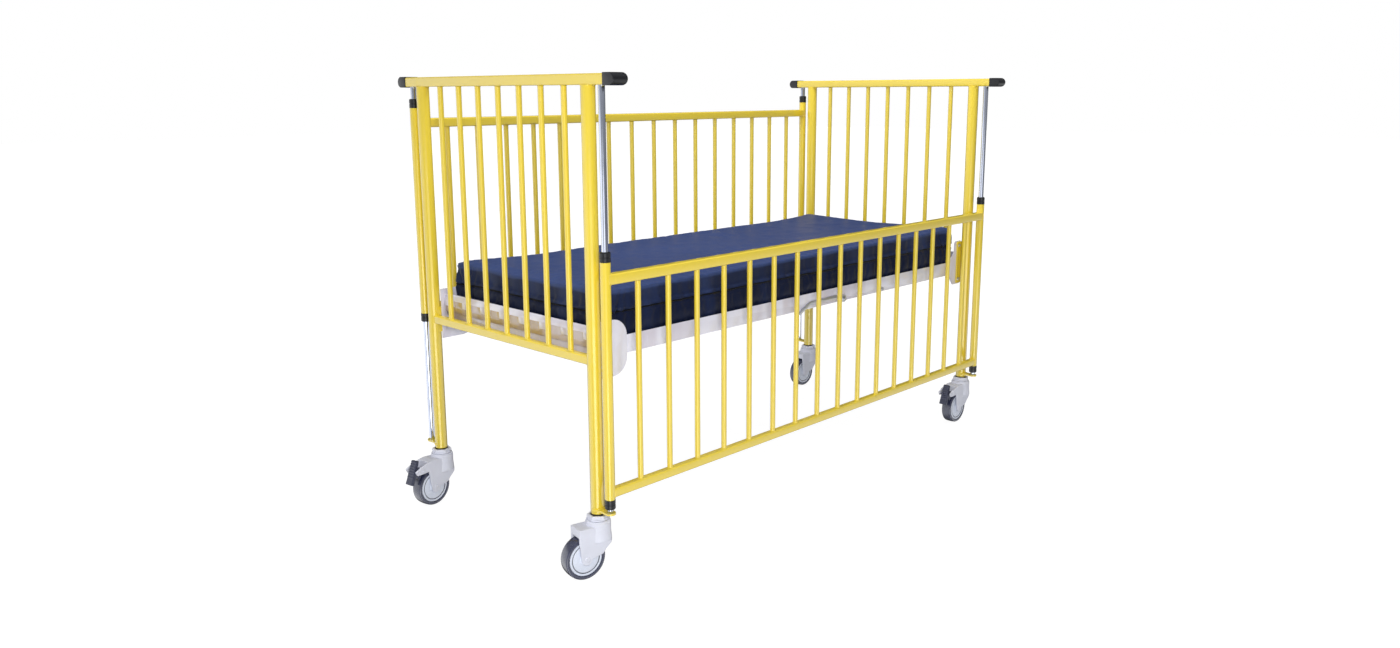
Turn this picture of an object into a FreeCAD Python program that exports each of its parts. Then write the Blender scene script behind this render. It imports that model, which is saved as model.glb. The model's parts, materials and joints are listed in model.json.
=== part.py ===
import FreeCAD, Part
import math
import os

"""Pediatric hospital cot: two end frames, two drop sides on guide rods, a deck with a lifting
backrest, a mattress and four swivel casters. Millimetres, +X from foot to head, +Y to the far
side, +Z up; the origin is on the floor under the middle of the bounding box."""

V = FreeCAD.Vector
X_AXIS, Y_AXIS, Z_AXIS = V(1, 0, 0), V(0, 1, 0), V(0, 0, 1)

# ---- driving dimensions: the whole cot
LENGTH = 1892.0            # foot post axis to head post axis
WIDTH = 770.0              # near post axis to far post axis
HEIGHT = 1336.0            # floor to the top of the end frames' top rails
RAISED = 380.0             # lift of the far side above the lowered near side

# ---- clearances
FIXED_GAP = 0.1            # radial play of a fixed rod or bolt in its hole
RUNNING_GAP = 0.05         # radial play of a turning or sliding fit
REST_GAP = 0.3             # one part lying on another that it can leave
SIDE_PLAY = 1.0            # play beside a part that turns between two walls

# ---- end frames
POST_R = 19.0
POST_WALL = 2.0
POST_BOTTOM = 176.0
RAIL = 28.0                # top rails, square tube
RAIL_WALL = 2.0
RAIL_OVERHANG = 72.0       # post axis to the end of the top rail
LOW_RAIL = 24.0            # lower rails, square tube
LOW_RAIL_TOP = 609.0
END_BARS = 7
BAR_R = 8.0
BAR_WALL = 1.5

# ---- guide rods, their brackets and the corner buffers
ROD_R = 9.0
ROD_OFFSET = 52.0          # post axis to rod axis
BRACKET_T = 5.0
BRACKET_LIFT = 9.0         # post's foot to the bracket's underside
BRACKET_POST_R = 22.0
BRACKET_ROD_R = 15.0
BUFFER_OUT = 42.0          # reach beyond the rail's end
BUFFER_BACK = 16.0         # reach from the frame's plane towards the foot
BUFFER_FRONT = 40.0        # reach from the frame's plane towards the head
BUFFER_PROUD = 2.0         # stands above and below the rail
BUFFER_NOSE_R = 13.0
BUFFER_SPIGOT = 8.0

# ---- drop sides
SIDE_BARS = 16
SIDE_BOTTOM = 232.0        # underside of the lowered side's bottom rail
SIDE_HEIGHT = 602.0        # underside of the bottom rail to the top of the top rail
SLEEVE_R = 14.0
SLEEVE_WALL = 2.0
SLEEVE_ABOVE = 31.0        # sleeve above the top rail
SLEEVE_BELOW = 5.0         # sleeve below the bottom rail
BUSH_R = 14.6
BUSH_H = 27.0
BUSH_SPIGOT = 14.0
BUSH_CHAMFER = 2.5

# ---- deck
DECK_TOP = 623.0           # the face that the mattress lies on
PANEL_T = 2.0
DECK_SIDE_GAP = 23.0       # post axis to the outer face of the deck's side member
MEMBER_W = 30.0
MEMBER_BOTTOM = 591.0
MEMBER_WALL = 2.0
LIP_T = 3.0
SIDE_LIP_TOP = 641.0
END_LIP_TOP = 676.0
END_INSET = 27.0           # frame plane to the outer face of the deck's end member
APRON_T = 3.0
END_RECESS = 12.0          # lip to the end member's face behind it
APRON_BOTTOM = 639.0
APRON_TEETH = 8
APRON_GAP_W = 46.0
APRON_GAP_H = 19.0
PANEL_EDGE_GAP = 0.5
CROSS_W = 25.0
SLOT_W = 18.0
SLOT_PITCH = 70.0
SLOT_MARGIN = 90.0         # panel edge to the first and last slot, and to the slots' ends

# ---- corner plates, lugs and bolts
PLATE_T = 4.0
PLATE_RAIL_GAP = 1.0       # lower rail's face to the plate's edge beside it
FOOT_PLATE_REACH = 133.0
FOOT_PLATE_TOP = 691.0
FOOT_PLATE_BOTTOM = 535.0
FOOT_PLATE_R = 50.0
HEAD_PLATE_REACH = 95.0
HEAD_PLATE_TAB = 56.0
HEAD_PLATE_TOP = 719.0
HEAD_PLATE_R = 8.0
HEAD_PLATE_TOE = 60.0
HEAD_PLATE_BOTTOM = 551.0
HEAD_PLATE_TAPER_Z = 596.0
LUG_T = 5.0
LUG_REACH = 42.0
LUG_BOTTOM = 556.0
BOLT_R = 4.0
BOLT_HEAD_R = 7.0
BOLT_HEAD_T = 5.0
BOLT_X = 30.0              # post axis to the bolts
BOLT_LOW_Z = 571.0
FOOT_BOLT_Z = 623.0
HEAD_BOLT_Z = 703.0
LUG_CAP = 13.0             # lug above its upper bolt

# ---- backrest, stay and racks
HINGE_Z = 612.0
HINGE_PIN_R = 5.0
KNUCKLE_R = 8.0
KNUCKLE_L = 40.0
STAY_R = 330.0             # hinge to stay pivot, and stay pivot to foot rod
BACK_TAIL = 182.0          # foot rod at rest to the head frame's plane
RIB_Y = 226.0
RIB_T = 6.0
RIB_H = 17.0
STAY_T = 6.0
STAY_H = 14.0
STAY_EYE_R = 8.5
STAY_SIDE_GAP = 2.0
STAY_PIN_R = 5.0
STAY_PIN_HEAD_T = 4.0
FOOT_ROD_R = 6.0
RACK_T = 10.0
RACK_H = 14.0
RACK_TEETH = 12
TOOTH_DEPTH = 6.0
TILT_MAX = 60.0
RACK_END = 35.0            # rack beyond the foot rod at each end of its travel
RACK_BOLT_INSET = 10.0     # rack's foot end to its bolt
RACK_BOLT_Z = 599.0

# ---- release lever
LEVER_AHEAD = 74.0         # hinge to the lever's bolt
LEVER_Z = 599.0
LEVER_BOSS_R = 12.0
LEVER_W = 11.0
LEVER_T = 5.0
LEVER_KNEE = (-46.0, 12.0)       # first bend, from the bolt
LEVER_ELBOW = (-187.0, 10.0)     # second bend
LEVER_TIP = (-239.0, -16.0)

# ---- mattress
MATTRESS_INSET = 66.0      # frame plane to the mattress' end
MATTRESS_SIDE_GAP = 12.0   # outer face of the side member to the mattress' side
MATTRESS_T = 150.0
MATTRESS_R = 28.0
BEND_HALF = 110.0          # half the length of the part that bends over the hinge

# ---- casters (u is the trail direction, measured from the swivel axis)
WHEEL_R = 60.0
TREAD_W = 38.0
TREAD_ROUND = 6.0
HUB_R = 48.5
HUB_W = 35.0
HUB_RECESS_R = 41.5
HUB_RECESS = 2.0
HUB_BOSS_R = 14.0
AXLE_R = 5.0
AXLE_HEAD_R = 8.0
AXLE_HEAD_T = 3.0
TRAIL = 48.0
FORK_HALF = 27.0
CHEEK_T = 6.0
WHEEL_GAP = 4.0            # fork over the tread
COLUMN_R = 33.0
COLUMN_BASE_R = 37.0       # where the column has flared out over the wheel
COLUMN_BASE_Z = 103.0
COLUMN_SEAM_Z = 148.0      # groove between the swivel head and the fork
SEAM_DEPTH = 1.2
FORK_TOP = 147.0
FORK_BACK = 70.0
FORK_BACK_Z = 110.0
LOBE_R = 16.0
# lower edge of the cheeks, from the lobe to under the column
CHIN = ((36.0, 58.0), (1.0, 66.0), (-9.0, 78.0))
COLLAR_FLATS = 58.0
COLLAR_H = 14.0
COLLAR_POST_GAP = 3.0      # stem showing between collar and post
SWIVEL_GAP = 0.5
STEM_R = 12.0
STEM_DEEP = 30.0           # stem inside the fork's column
STEM_HEAD_R = 15.0
STEM_HEAD_T = 5.0
PLUG_H = 60.0
PEDAL_U = 96.0             # pedal's pivot
PEDAL_Z = 127.0
PEDAL_BARREL_R = 7.0
PEDAL_PIN_R = 4.0
PEDAL_PIN_HEAD_R = 5.5
PEDAL_HALF = 18.0
PEDAL_T = 11.0
PEDAL_TOP = (98.5, 157.0)  # upper inner corner of the pedal plate
PEDAL_TOE = (124.5, 84.0)  # lower inner corner
PEDAL_NECK = (0.3, 0.6)          # where the neck meets the plate, as shares of its length
PEDAL_PRESS = 15.0               # degrees from rest to the brake's pad on the tyre
PAD_GAP = 0.4                    # pad to tyre when pressed
PAD_ARC = (46.0, 38.0)           # where the pad meets the tyre, in degrees above the trail
PRONG_SLOT_U = 72.0               # end of the roof between the prongs
# upper edge, tip and underside of the braked fork's prongs
PRONG = ((17.0, 149.0), (53.0, 152.0), (78.0, 148.0), (102.0, 141.0), (124.0, 130.0),
         (117.0, 117.0), (73.0, 118.0))

# corner name: end, side, trail angle from +X in degrees, whether it has a brake pedal
CASTERS = {
    "near_left": ("foot", -1, 168.0, False),
    "far_left": ("foot", 1, 187.0, True),
    "near_right": ("head", -1, 181.0, True),
    "far_right": ("head", 1, 180.0, False),
}

# ---- places that follow from the sizes above
POST_Y = WIDTH / 2
ROD_Y = POST_Y + ROD_OFFSET
DECK_HALF = POST_Y - DECK_SIDE_GAP
MATTRESS_HALF = DECK_HALF - MATTRESS_SIDE_GAP
RAIL_BOTTOM = HEIGHT - RAIL
BRACKET_BOTTOM = POST_BOTTOM + BRACKET_LIFT
BRACKET_TOP = BRACKET_BOTTOM + BRACKET_T
COLLAR_TOP = POST_BOTTOM - COLLAR_POST_GAP
COLLAR_BOTTOM = COLLAR_TOP - COLLAR_H
COLUMN_TOP = COLLAR_BOTTOM - SWIVEL_GAP
PANEL_BOTTOM = DECK_TOP - PANEL_T
MEMBER_TOP = PANEL_BOTTOM
RAIL_END_Y = POST_Y + RAIL_OVERHANG
MEMBER_IN = DECK_HALF - MEMBER_W
PLATE_Y = DECK_HALF + PLATE_T
LUG_Y = PLATE_Y + LUG_T
PLATE_EDGE = LOW_RAIL / 2 + PLATE_RAIL_GAP
BACK_BOTTOM = PANEL_BOTTOM + REST_GAP      # backrest panel, lying on the members
HUB_HALF = FORK_HALF - CHEEK_T - SIDE_PLAY


def pedal_corners():
    """Inner and outer corners of the pedal plate in the trail plane."""
    (u0, z0), (u1, z1) = PEDAL_TOP, PEDAL_TOE
    run = math.hypot(u1 - u0, z1 - z0)
    du, dz = PEDAL_T * (z0 - z1) / run, PEDAL_T * (u1 - u0) / run
    return [(u0, z0), (u1, z1), (u1 + du, z1 + dz), (u0 + du, z0 + dz)]


def foot_reach():
    """How far the far left caster's pedal reaches past the foot frame's plane."""
    angle = math.radians(CASTERS["far_left"][2])
    tip = max(u for u, z in pedal_corners())
    return tip * abs(math.cos(angle)) + PEDAL_HALF * abs(math.sin(angle))


X_FOOT = (foot_reach() - LENGTH - BUFFER_FRONT) / 2
X_HEAD = X_FOOT + LENGTH
HINGE = V(X_HEAD - BACK_TAIL - 2 * STAY_R, 0, HINGE_Z)
LEVER_X = HINGE.x + LEVER_AHEAD
# the backrest panel's foot edge, set so that it stays above the members up to the full tilt
BACK_START = HINGE.x + (BACK_BOTTOM - HINGE_Z) * math.tan(math.radians(TILT_MAX / 2))


# ---- helpers
def box(x0, x1, y0, y1, z0, z1):
    return Part.makeBox(x1 - x0, y1 - y0, z1 - z0, V(x0, y0, z0))


def pole(x, y, z0, z1, radius):
    return Part.makeCylinder(radius, z1 - z0, V(x, y, z0))


def bar_y(x, y0, y1, z, radius):
    return Part.makeCylinder(radius, y1 - y0, V(x, y0, z), Y_AXIS)


def tube_z(x, y, z0, z1, radius, wall):
    return pole(x, y, z0, z1, radius).cut(pole(x, y, z0, z1, radius - wall))


def prism_y(points, y0, y1):
    """Polygon of (x, z) points, extruded from y0 to y1."""
    corners = [V(x, y0, z) for x, z in points]
    wire = Part.makePolygon(corners + corners[:1])
    return Part.Face(wire).extrude(V(0, y1 - y0, 0))


def belt(a, ra, b, rb):
    """The four points where outer tangents touch two circles of (x, z) centres."""
    dx, dz = b[0] - a[0], b[1] - a[1]
    lean = math.acos((ra - rb) / math.hypot(dx, dz))
    heading = math.atan2(dz, dx)
    points = []
    for centre, radius, sign in ((a, ra, 1), (b, rb, 1), (b, rb, -1), (a, ra, -1)):
        angle = heading + sign * lean
        points.append((centre[0] + radius * math.cos(angle), centre[1] + radius * math.sin(angle)))
    return points


def strap_y(a, ra, b, rb, y0, y1):
    """A flat strap with round ends between two (x, z) centres."""
    strap = prism_y(belt(a, ra, b, rb), y0, y1)
    for centre, radius in ((a, ra), (b, rb)):
        strap = strap.fuse(bar_y(centre[0], y0, y1, centre[1], radius))
    return strap.removeSplitter()


def mirrored(shape, side):
    """The far side's shape as it is, or its mirror image for the near side."""
    return shape if side > 0 else shape.mirror(V(0, 0, 0), Y_AXIS)


def place_at_post(shape, x, side, angle):
    """Turn a caster piece from the trail frame and set it under its post."""
    turned = shape.copy()
    turned.rotate(V(0, 0, 0), Z_AXIS, angle)
    turned.translate(V(x, side * POST_Y, 0))
    return turned


def write(node, solids):
    shape = solids[0] if len(solids) == 1 else Part.makeCompound(solids)
    shape.exportStep("parts/" + node + ".step")


# ---- end frames
def end_frame(x):
    """Posts, rails and bars of one end frame in the plane x."""
    posts = [tube_z(x, s * POST_Y, POST_BOTTOM, RAIL_BOTTOM, POST_R, POST_WALL) for s in (-1, 1)]
    half = RAIL / 2
    bore = half - RAIL_WALL
    top = box(x - half, x + half, -RAIL_END_Y, RAIL_END_Y, RAIL_BOTTOM, HEIGHT)
    top = top.cut(box(x - bore, x + bore, -RAIL_END_Y, RAIL_END_Y,
                      RAIL_BOTTOM + RAIL_WALL, HEIGHT - RAIL_WALL))
    for side in (-1, 1):
        top = top.cut(pole(x, side * ROD_Y, RAIL_BOTTOM, RAIL_BOTTOM + RAIL_WALL,
                           ROD_R + FIXED_GAP))
    half = LOW_RAIL / 2
    bore = half - RAIL_WALL
    low_z = LOW_RAIL_TOP - LOW_RAIL
    low = box(x - half, x + half, -POST_Y, POST_Y, low_z, LOW_RAIL_TOP)
    low = low.cut(box(x - bore, x + bore, -POST_Y, POST_Y,
                      low_z + RAIL_WALL, LOW_RAIL_TOP - RAIL_WALL))
    for side in (-1, 1):
        low = low.cut(pole(x, side * POST_Y, low_z, LOW_RAIL_TOP, POST_R))
    pitch = WIDTH / (END_BARS + 1)
    bars = [tube_z(x, -POST_Y + pitch * (i + 1), LOW_RAIL_TOP, RAIL_BOTTOM, BAR_R, BAR_WALL)
            for i in range(END_BARS)]
    return posts, [top, low], bars


def corner_buffer(x, side):
    """Rounded plastic buffer plugged into the end of a top rail."""
    centre_z = HEIGHT - RAIL / 2
    nose = RAIL / 2 + BUFFER_PROUD
    y_in, y_flat = RAIL_END_Y, RAIL_END_Y + BUFFER_OUT - nose
    body = box(x - BUFFER_BACK, x + BUFFER_FRONT, y_in, y_flat, centre_z - nose, centre_z + nose)
    body = body.fuse(Part.makeCylinder(nose, BUFFER_BACK + BUFFER_FRONT,
                                       V(x - BUFFER_BACK, y_flat, centre_z), X_AXIS))
    body = body.removeSplitter()
    front = [e for e in body.Edges if e.BoundBox.XMin > x + BUFFER_FRONT - 0.01]
    body = body.makeFillet(BUFFER_NOSE_R, front)
    plug = RAIL / 2 - RAIL_WALL - FIXED_GAP
    body = body.fuse(box(x - plug, x + plug, y_in - BUFFER_SPIGOT, y_in,
                         centre_z - plug, centre_z + plug))
    return mirrored(body, side)


def rod_bracket(x, side):
    """Tongue on the outer side of a post that carries the guide rod."""
    corners = [V(x + u, POST_Y + v, BRACKET_BOTTOM)
               for v, u in ((0, BRACKET_POST_R), (ROD_OFFSET, BRACKET_ROD_R),
                            (ROD_OFFSET, -BRACKET_ROD_R), (0, -BRACKET_POST_R))]
    wire = Part.makePolygon(corners + corners[:1])
    plate = Part.Face(wire).extrude(V(0, 0, BRACKET_T))
    plate = plate.fuse(pole(x, ROD_Y, BRACKET_BOTTOM, BRACKET_TOP, BRACKET_ROD_R))
    plate = plate.removeSplitter()
    plate = plate.cut(pole(x, POST_Y, BRACKET_BOTTOM, BRACKET_TOP, POST_R))
    plate = plate.cut(pole(x, ROD_Y, BRACKET_BOTTOM, BRACKET_TOP, ROD_R))
    return mirrored(plate, side)


def guide_rod(x, side):
    return pole(x, side * ROD_Y, BRACKET_BOTTOM, HEIGHT - RAIL_WALL, ROD_R)


# ---- drop sides
def drop_side(side, lift):
    """Sleeves, rails, bars and bushes of one side, raised by lift."""
    y = side * ROD_Y
    low = SIDE_BOTTOM + lift
    high = low + SIDE_HEIGHT
    ends = (X_FOOT, X_HEAD)
    sleeve_z = (low - SLEEVE_BELOW, high + SLEEVE_ABOVE)
    sleeves = [tube_z(x, y, sleeve_z[0], sleeve_z[1], SLEEVE_R, SLEEVE_WALL) for x in ends]
    rails = []
    for z0, size in ((high - RAIL, RAIL), (low, LOW_RAIL)):
        half = size / 2
        bore = half - RAIL_WALL
        rail = box(X_FOOT, X_HEAD, y - half, y + half, z0, z0 + size)
        rail = rail.cut(box(X_FOOT, X_HEAD, y - bore, y + bore, z0 + RAIL_WALL,
                            z0 + size - RAIL_WALL))
        for x in ends:
            rail = rail.cut(pole(x, y, z0, z0 + size, SLEEVE_R))
        rails.append(rail)
    pitch = LENGTH / (SIDE_BARS + 1)
    bars = [tube_z(X_FOOT + pitch * (i + 1), y, low + LOW_RAIL, high - RAIL, BAR_R, BAR_WALL)
            for i in range(SIDE_BARS)]
    bushes = []
    for x in ends:
        for z, up in ((sleeve_z[1], 1), (sleeve_z[0], -1)):
            bushes.append(bush(x, y, z, up))
    return sleeves, rails, bars, bushes


def bush(x, y, z, up):
    """Plastic bush with a head outside the sleeve and a spigot in it."""
    head = Part.makeCylinder(BUSH_R, BUSH_H)
    rim = [e for e in head.Edges if e.BoundBox.ZMin > BUSH_H - 0.01]
    head = head.makeChamfer(BUSH_CHAMFER, rim)
    spigot_r = SLEEVE_R - SLEEVE_WALL - FIXED_GAP
    body = head.fuse(Part.makeCylinder(spigot_r, BUSH_SPIGOT, V(0, 0, -BUSH_SPIGOT)))
    body = body.cut(Part.makeCylinder(ROD_R + RUNNING_GAP, BUSH_H + BUSH_SPIGOT,
                                      V(0, 0, -BUSH_SPIGOT)))
    if up < 0:
        body.rotate(V(0, 0, 0), X_AXIS, 180)
    body.translate(V(x, y, z))
    return body


# ---- deck
def side_member(side):
    """Box section with an upstanding lip along one side of the deck."""
    x0 = X_FOOT + END_INSET + MEMBER_W
    x1 = X_HEAD - END_INSET - MEMBER_W
    body = box(x0, x1, MEMBER_IN, DECK_HALF, MEMBER_BOTTOM, MEMBER_TOP)
    body = body.fuse(box(x0, x1, DECK_HALF - LIP_T, DECK_HALF, MEMBER_TOP, SIDE_LIP_TOP))
    body = body.removeSplitter()
    body = body.cut(box(x0, x1, MEMBER_IN + MEMBER_WALL, DECK_HALF - MEMBER_WALL,
                        MEMBER_BOTTOM + MEMBER_WALL, MEMBER_TOP - MEMBER_WALL))
    body = body.cut(bar_y(HINGE.x, MEMBER_IN, MEMBER_IN + MEMBER_WALL, HINGE_Z, HINGE_PIN_R))
    body = body.cut(bar_y(rack_span()[0] + RACK_BOLT_INSET, MEMBER_IN, DECK_HALF, RACK_BOLT_Z,
                          BOLT_R + FIXED_GAP))
    if side < 0:
        body = body.cut(bar_y(LEVER_X, DECK_HALF - MEMBER_WALL, DECK_HALF, LEVER_Z, BOLT_R))
    return mirrored(body, side)


def end_member(x, inward):
    """Box section with a tall lip and a notched apron across one end of the deck."""
    def along(a, b):
        return sorted((x + inward * a, x + inward * b))
    x0, x1 = along(END_INSET + END_RECESS, END_INSET + MEMBER_W)
    h0, h1 = along(END_INSET + END_RECESS + MEMBER_WALL, END_INSET + MEMBER_W - MEMBER_WALL)
    f0, f1 = along(END_INSET, END_INSET + END_RECESS)
    l0, l1 = along(END_INSET, END_INSET + LIP_T)
    body = box(x0, x1, -DECK_HALF, DECK_HALF, MEMBER_BOTTOM, MEMBER_TOP)
    body = body.fuse(box(f0, f1, -DECK_HALF, DECK_HALF, MEMBER_TOP - MEMBER_WALL, MEMBER_TOP))
    body = body.fuse(box(l0, l1, -DECK_HALF, DECK_HALF, MEMBER_TOP, END_LIP_TOP))
    a0, a1 = along(END_INSET - APRON_T, END_INSET)
    apron = box(a0, a1, -DECK_HALF, DECK_HALF, APRON_BOTTOM, END_LIP_TOP)
    pitch = (2 * DECK_HALF + APRON_GAP_W) / APRON_TEETH
    for i in range(1, APRON_TEETH):
        y = (i - APRON_TEETH / 2) * pitch
        apron = apron.cut(box(a0, a1, y - APRON_GAP_W / 2, y + APRON_GAP_W / 2,
                              APRON_BOTTOM, APRON_BOTTOM + APRON_GAP_H))
    body = body.fuse(apron).removeSplitter()
    return body.cut(box(h0, h1, -DECK_HALF, DECK_HALF, MEMBER_BOTTOM + MEMBER_WALL,
                        MEMBER_TOP - MEMBER_WALL))


def cross_member(x):
    """Square tube between the side members, its far face at x."""
    body = box(x - CROSS_W, x, -MEMBER_IN, MEMBER_IN, MEMBER_TOP - CROSS_W, MEMBER_TOP)
    return body.cut(box(x - CROSS_W + MEMBER_WALL, x - MEMBER_WALL, -MEMBER_IN, MEMBER_IN,
                        MEMBER_TOP - CROSS_W + MEMBER_WALL, MEMBER_TOP - MEMBER_WALL))


def panel(x0, x1, z0):
    """Sheet with ventilation slots across it."""
    half = DECK_HALF - LIP_T - PANEL_EDGE_GAP
    sheet = box(x0, x1, -half, half, z0, z0 + PANEL_T)
    count = int((x1 - x0 - 2 * SLOT_MARGIN) // SLOT_PITCH) + 1
    first = (x0 + x1 - (count - 1) * SLOT_PITCH) / 2
    for i in range(count):
        x = first + i * SLOT_PITCH
        sheet = sheet.cut(box(x - SLOT_W / 2, x + SLOT_W / 2, -half + SLOT_MARGIN,
                              half - SLOT_MARGIN, z0, z0 + PANEL_T))
    return sheet


def corner_plate(end, side):
    """Flat plate that hangs the deck's corner on the post's lug."""
    x, inward = (X_FOOT, 1) if end == "foot" else (X_HEAD, -1)
    if end == "foot":
        outline = [(PLATE_EDGE, FOOT_PLATE_BOTTOM), (FOOT_PLATE_REACH, FOOT_PLATE_BOTTOM),
                   (FOOT_PLATE_REACH, FOOT_PLATE_TOP), (PLATE_EDGE, FOOT_PLATE_TOP)]
        rounded, radius = outline[1:3], FOOT_PLATE_R
    else:
        shoulder = HEAD_PLATE_REACH - HEAD_PLATE_TAB
        outline = [(PLATE_EDGE, HEAD_PLATE_BOTTOM), (HEAD_PLATE_TOE, HEAD_PLATE_BOTTOM),
                   (HEAD_PLATE_REACH, HEAD_PLATE_TAPER_Z), (HEAD_PLATE_REACH, SIDE_LIP_TOP),
                   (HEAD_PLATE_TAB, SIDE_LIP_TOP + shoulder), (HEAD_PLATE_TAB, HEAD_PLATE_TOP),
                   (PLATE_EDGE, HEAD_PLATE_TOP)]
        rounded, radius = outline[5:6], HEAD_PLATE_R
    plate = prism_y([(x + inward * u, z) for u, z in outline], DECK_HALF, PLATE_Y)
    corners = [V(x + inward * u, DECK_HALF + PLATE_T / 2, z) for u, z in rounded]
    across = [e for e in plate.Edges if any(e.CenterOfMass.isEqual(c, 0.01) for c in corners)]
    plate = plate.makeFillet(radius, across)
    for z in bolt_heights(end):
        plate = plate.cut(bar_y(x + inward * BOLT_X, DECK_HALF, PLATE_Y, z, BOLT_R))
    return mirrored(plate, side)


def bolt_heights(end):
    return BOLT_LOW_Z, FOOT_BOLT_Z if end == "foot" else HEAD_BOLT_Z


def post_lug(end, side):
    """Lug welded to a post, outside the corner plate."""
    x, inward = (X_FOOT, 1) if end == "foot" else (X_HEAD, -1)
    low, high = bolt_heights(end)
    x0, x1 = sorted((x, x + inward * LUG_REACH))
    lug = box(x0, x1, PLATE_Y, LUG_Y, LUG_BOTTOM, high + LUG_CAP)
    lug = lug.cut(pole(x, POST_Y, LUG_BOTTOM, high + LUG_CAP, POST_R))
    rail_half = LOW_RAIL / 2
    lug = lug.cut(box(x - rail_half, x + rail_half, PLATE_Y, LUG_Y,
                      LOW_RAIL_TOP - LOW_RAIL, LOW_RAIL_TOP))
    for z in (low, high):
        lug = lug.cut(bar_y(x + inward * BOLT_X, PLATE_Y, LUG_Y, z, BOLT_R + FIXED_GAP))
    return mirrored(lug, side)


def bolt(x, y_face, y_tip, z, side):
    """Bolt with its round head outside y_face and its tip at y_tip."""
    body = bar_y(x, y_tip, y_face, z, BOLT_R)
    body = body.fuse(bar_y(x, y_face, y_face + BOLT_HEAD_T, z, BOLT_HEAD_R))
    return mirrored(body, side)


def deck_bolts():
    solids = []
    for end, x, inward in (("foot", X_FOOT, 1), ("head", X_HEAD, -1)):
        for side in (-1, 1):
            for z in bolt_heights(end):
                solids.append(bolt(x + inward * BOLT_X, LUG_Y, DECK_HALF, z, side))
    return solids


# ---- backrest
def knuckles():
    """Tubes on the hinge pin, in the middle and beside both ribs."""
    solids = []
    for y in (-RIB_Y + KNUCKLE_L / 2, 0, RIB_Y - KNUCKLE_L / 2):
        body = bar_y(HINGE.x, y - KNUCKLE_L / 2, y + KNUCKLE_L / 2, HINGE_Z, KNUCKLE_R)
        weld = box(HINGE.x, HINGE.x + 2 * KNUCKLE_R, y - KNUCKLE_L / 2, y + KNUCKLE_L / 2,
                   HINGE_Z, BACK_BOTTOM)
        weld = weld.cut(box(HINGE.x, HINGE.x + PANEL_T, y - KNUCKLE_L / 2, y + KNUCKLE_L / 2,
                            HINGE_Z + KNUCKLE_R, BACK_BOTTOM))
        body = body.fuse(weld).removeSplitter()
        solids.append(body.cut(bar_y(HINGE.x, y - KNUCKLE_L / 2, y + KNUCKLE_L / 2, HINGE_Z,
                                     HINGE_PIN_R + RUNNING_GAP)))
    return solids


def rib(side):
    """Flat bar under the backrest panel, from the hinge to short of the foot rod."""
    x1 = HINGE.x + 2 * STAY_R - FOOT_ROD_R - SIDE_PLAY
    body = box(HINGE.x, x1, RIB_Y, RIB_Y + RIB_T, BACK_BOTTOM - RIB_H, BACK_BOTTOM)
    body = body.cut(box(HINGE.x, HINGE.x + PANEL_T, RIB_Y, RIB_Y + RIB_T,
                        HINGE_Z + KNUCKLE_R, BACK_BOTTOM))
    body = body.cut(bar_y(HINGE.x, RIB_Y, RIB_Y + RIB_T, HINGE_Z, HINGE_PIN_R + RUNNING_GAP))
    body = body.cut(bar_y(HINGE.x + STAY_R, RIB_Y, RIB_Y + RIB_T, HINGE_Z, STAY_PIN_R))
    return mirrored(body, side)


def stay_pin(side):
    """Pin fixed in a rib that the stay turns on."""
    x = HINGE.x + STAY_R
    outer = RIB_Y + RIB_T + STAY_SIDE_GAP + STAY_T + REST_GAP
    body = bar_y(x, RIB_Y, outer, HINGE_Z, STAY_PIN_R)
    body = body.fuse(bar_y(x, outer, outer + STAY_PIN_HEAD_T, HINGE_Z, STAY_H / 2))
    body = body.fuse(bar_y(x, RIB_Y - STAY_PIN_HEAD_T, RIB_Y, HINGE_Z, STAY_H / 2))
    return mirrored(body, side)


def stay_arm(side):
    """Strap from the stay pin to the foot rod."""
    y0 = RIB_Y + RIB_T + STAY_SIDE_GAP
    start = (HINGE.x + STAY_R, HINGE_Z)
    end = (HINGE.x + 2 * STAY_R, HINGE_Z)
    body = strap_y(start, STAY_H / 2, end, STAY_EYE_R, y0, y0 + STAY_T)
    body = body.cut(bar_y(start[0], y0, y0 + STAY_T, HINGE_Z, STAY_PIN_R + RUNNING_GAP))
    body = body.cut(bar_y(end[0], y0, y0 + STAY_T, HINGE_Z, FOOT_ROD_R))
    return mirrored(body, side)


def foot_rod():
    """Cross rod at the stay's foot that rides over both racks."""
    x = HINGE.x + 2 * STAY_R
    return bar_y(x, -MEMBER_IN + SIDE_PLAY, MEMBER_IN - SIDE_PLAY, HINGE_Z, FOOT_ROD_R)


def rack_span():
    """Both ends of the racks, beyond the foot rod's travel."""
    return (HINGE.x + 2 * STAY_R * math.cos(math.radians(TILT_MAX)) - RACK_END,
            HINGE.x + 2 * STAY_R + RACK_END)


def rack(side):
    """Toothed bar on the inner face of a side member, under the foot rod's path."""
    top = HINGE_Z - FOOT_ROD_R - REST_GAP
    x0, x1 = rack_span()
    body = box(x0, x1, MEMBER_IN - RACK_T, MEMBER_IN, top - RACK_H, top)
    pitch = (x1 - x0) / (RACK_TEETH + 1)
    for i in range(RACK_TEETH):
        x = x0 + pitch * (i + 1)
        notch = prism_y([(x, top), (x - TOOTH_DEPTH, top), (x, top - TOOTH_DEPTH)],
                        MEMBER_IN - RACK_T, MEMBER_IN)
        body = body.cut(notch)
    body = body.cut(bar_y(x0 + RACK_BOLT_INSET, MEMBER_IN - RACK_T, MEMBER_IN, RACK_BOLT_Z,
                          BOLT_R))
    return mirrored(body, side)


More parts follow.
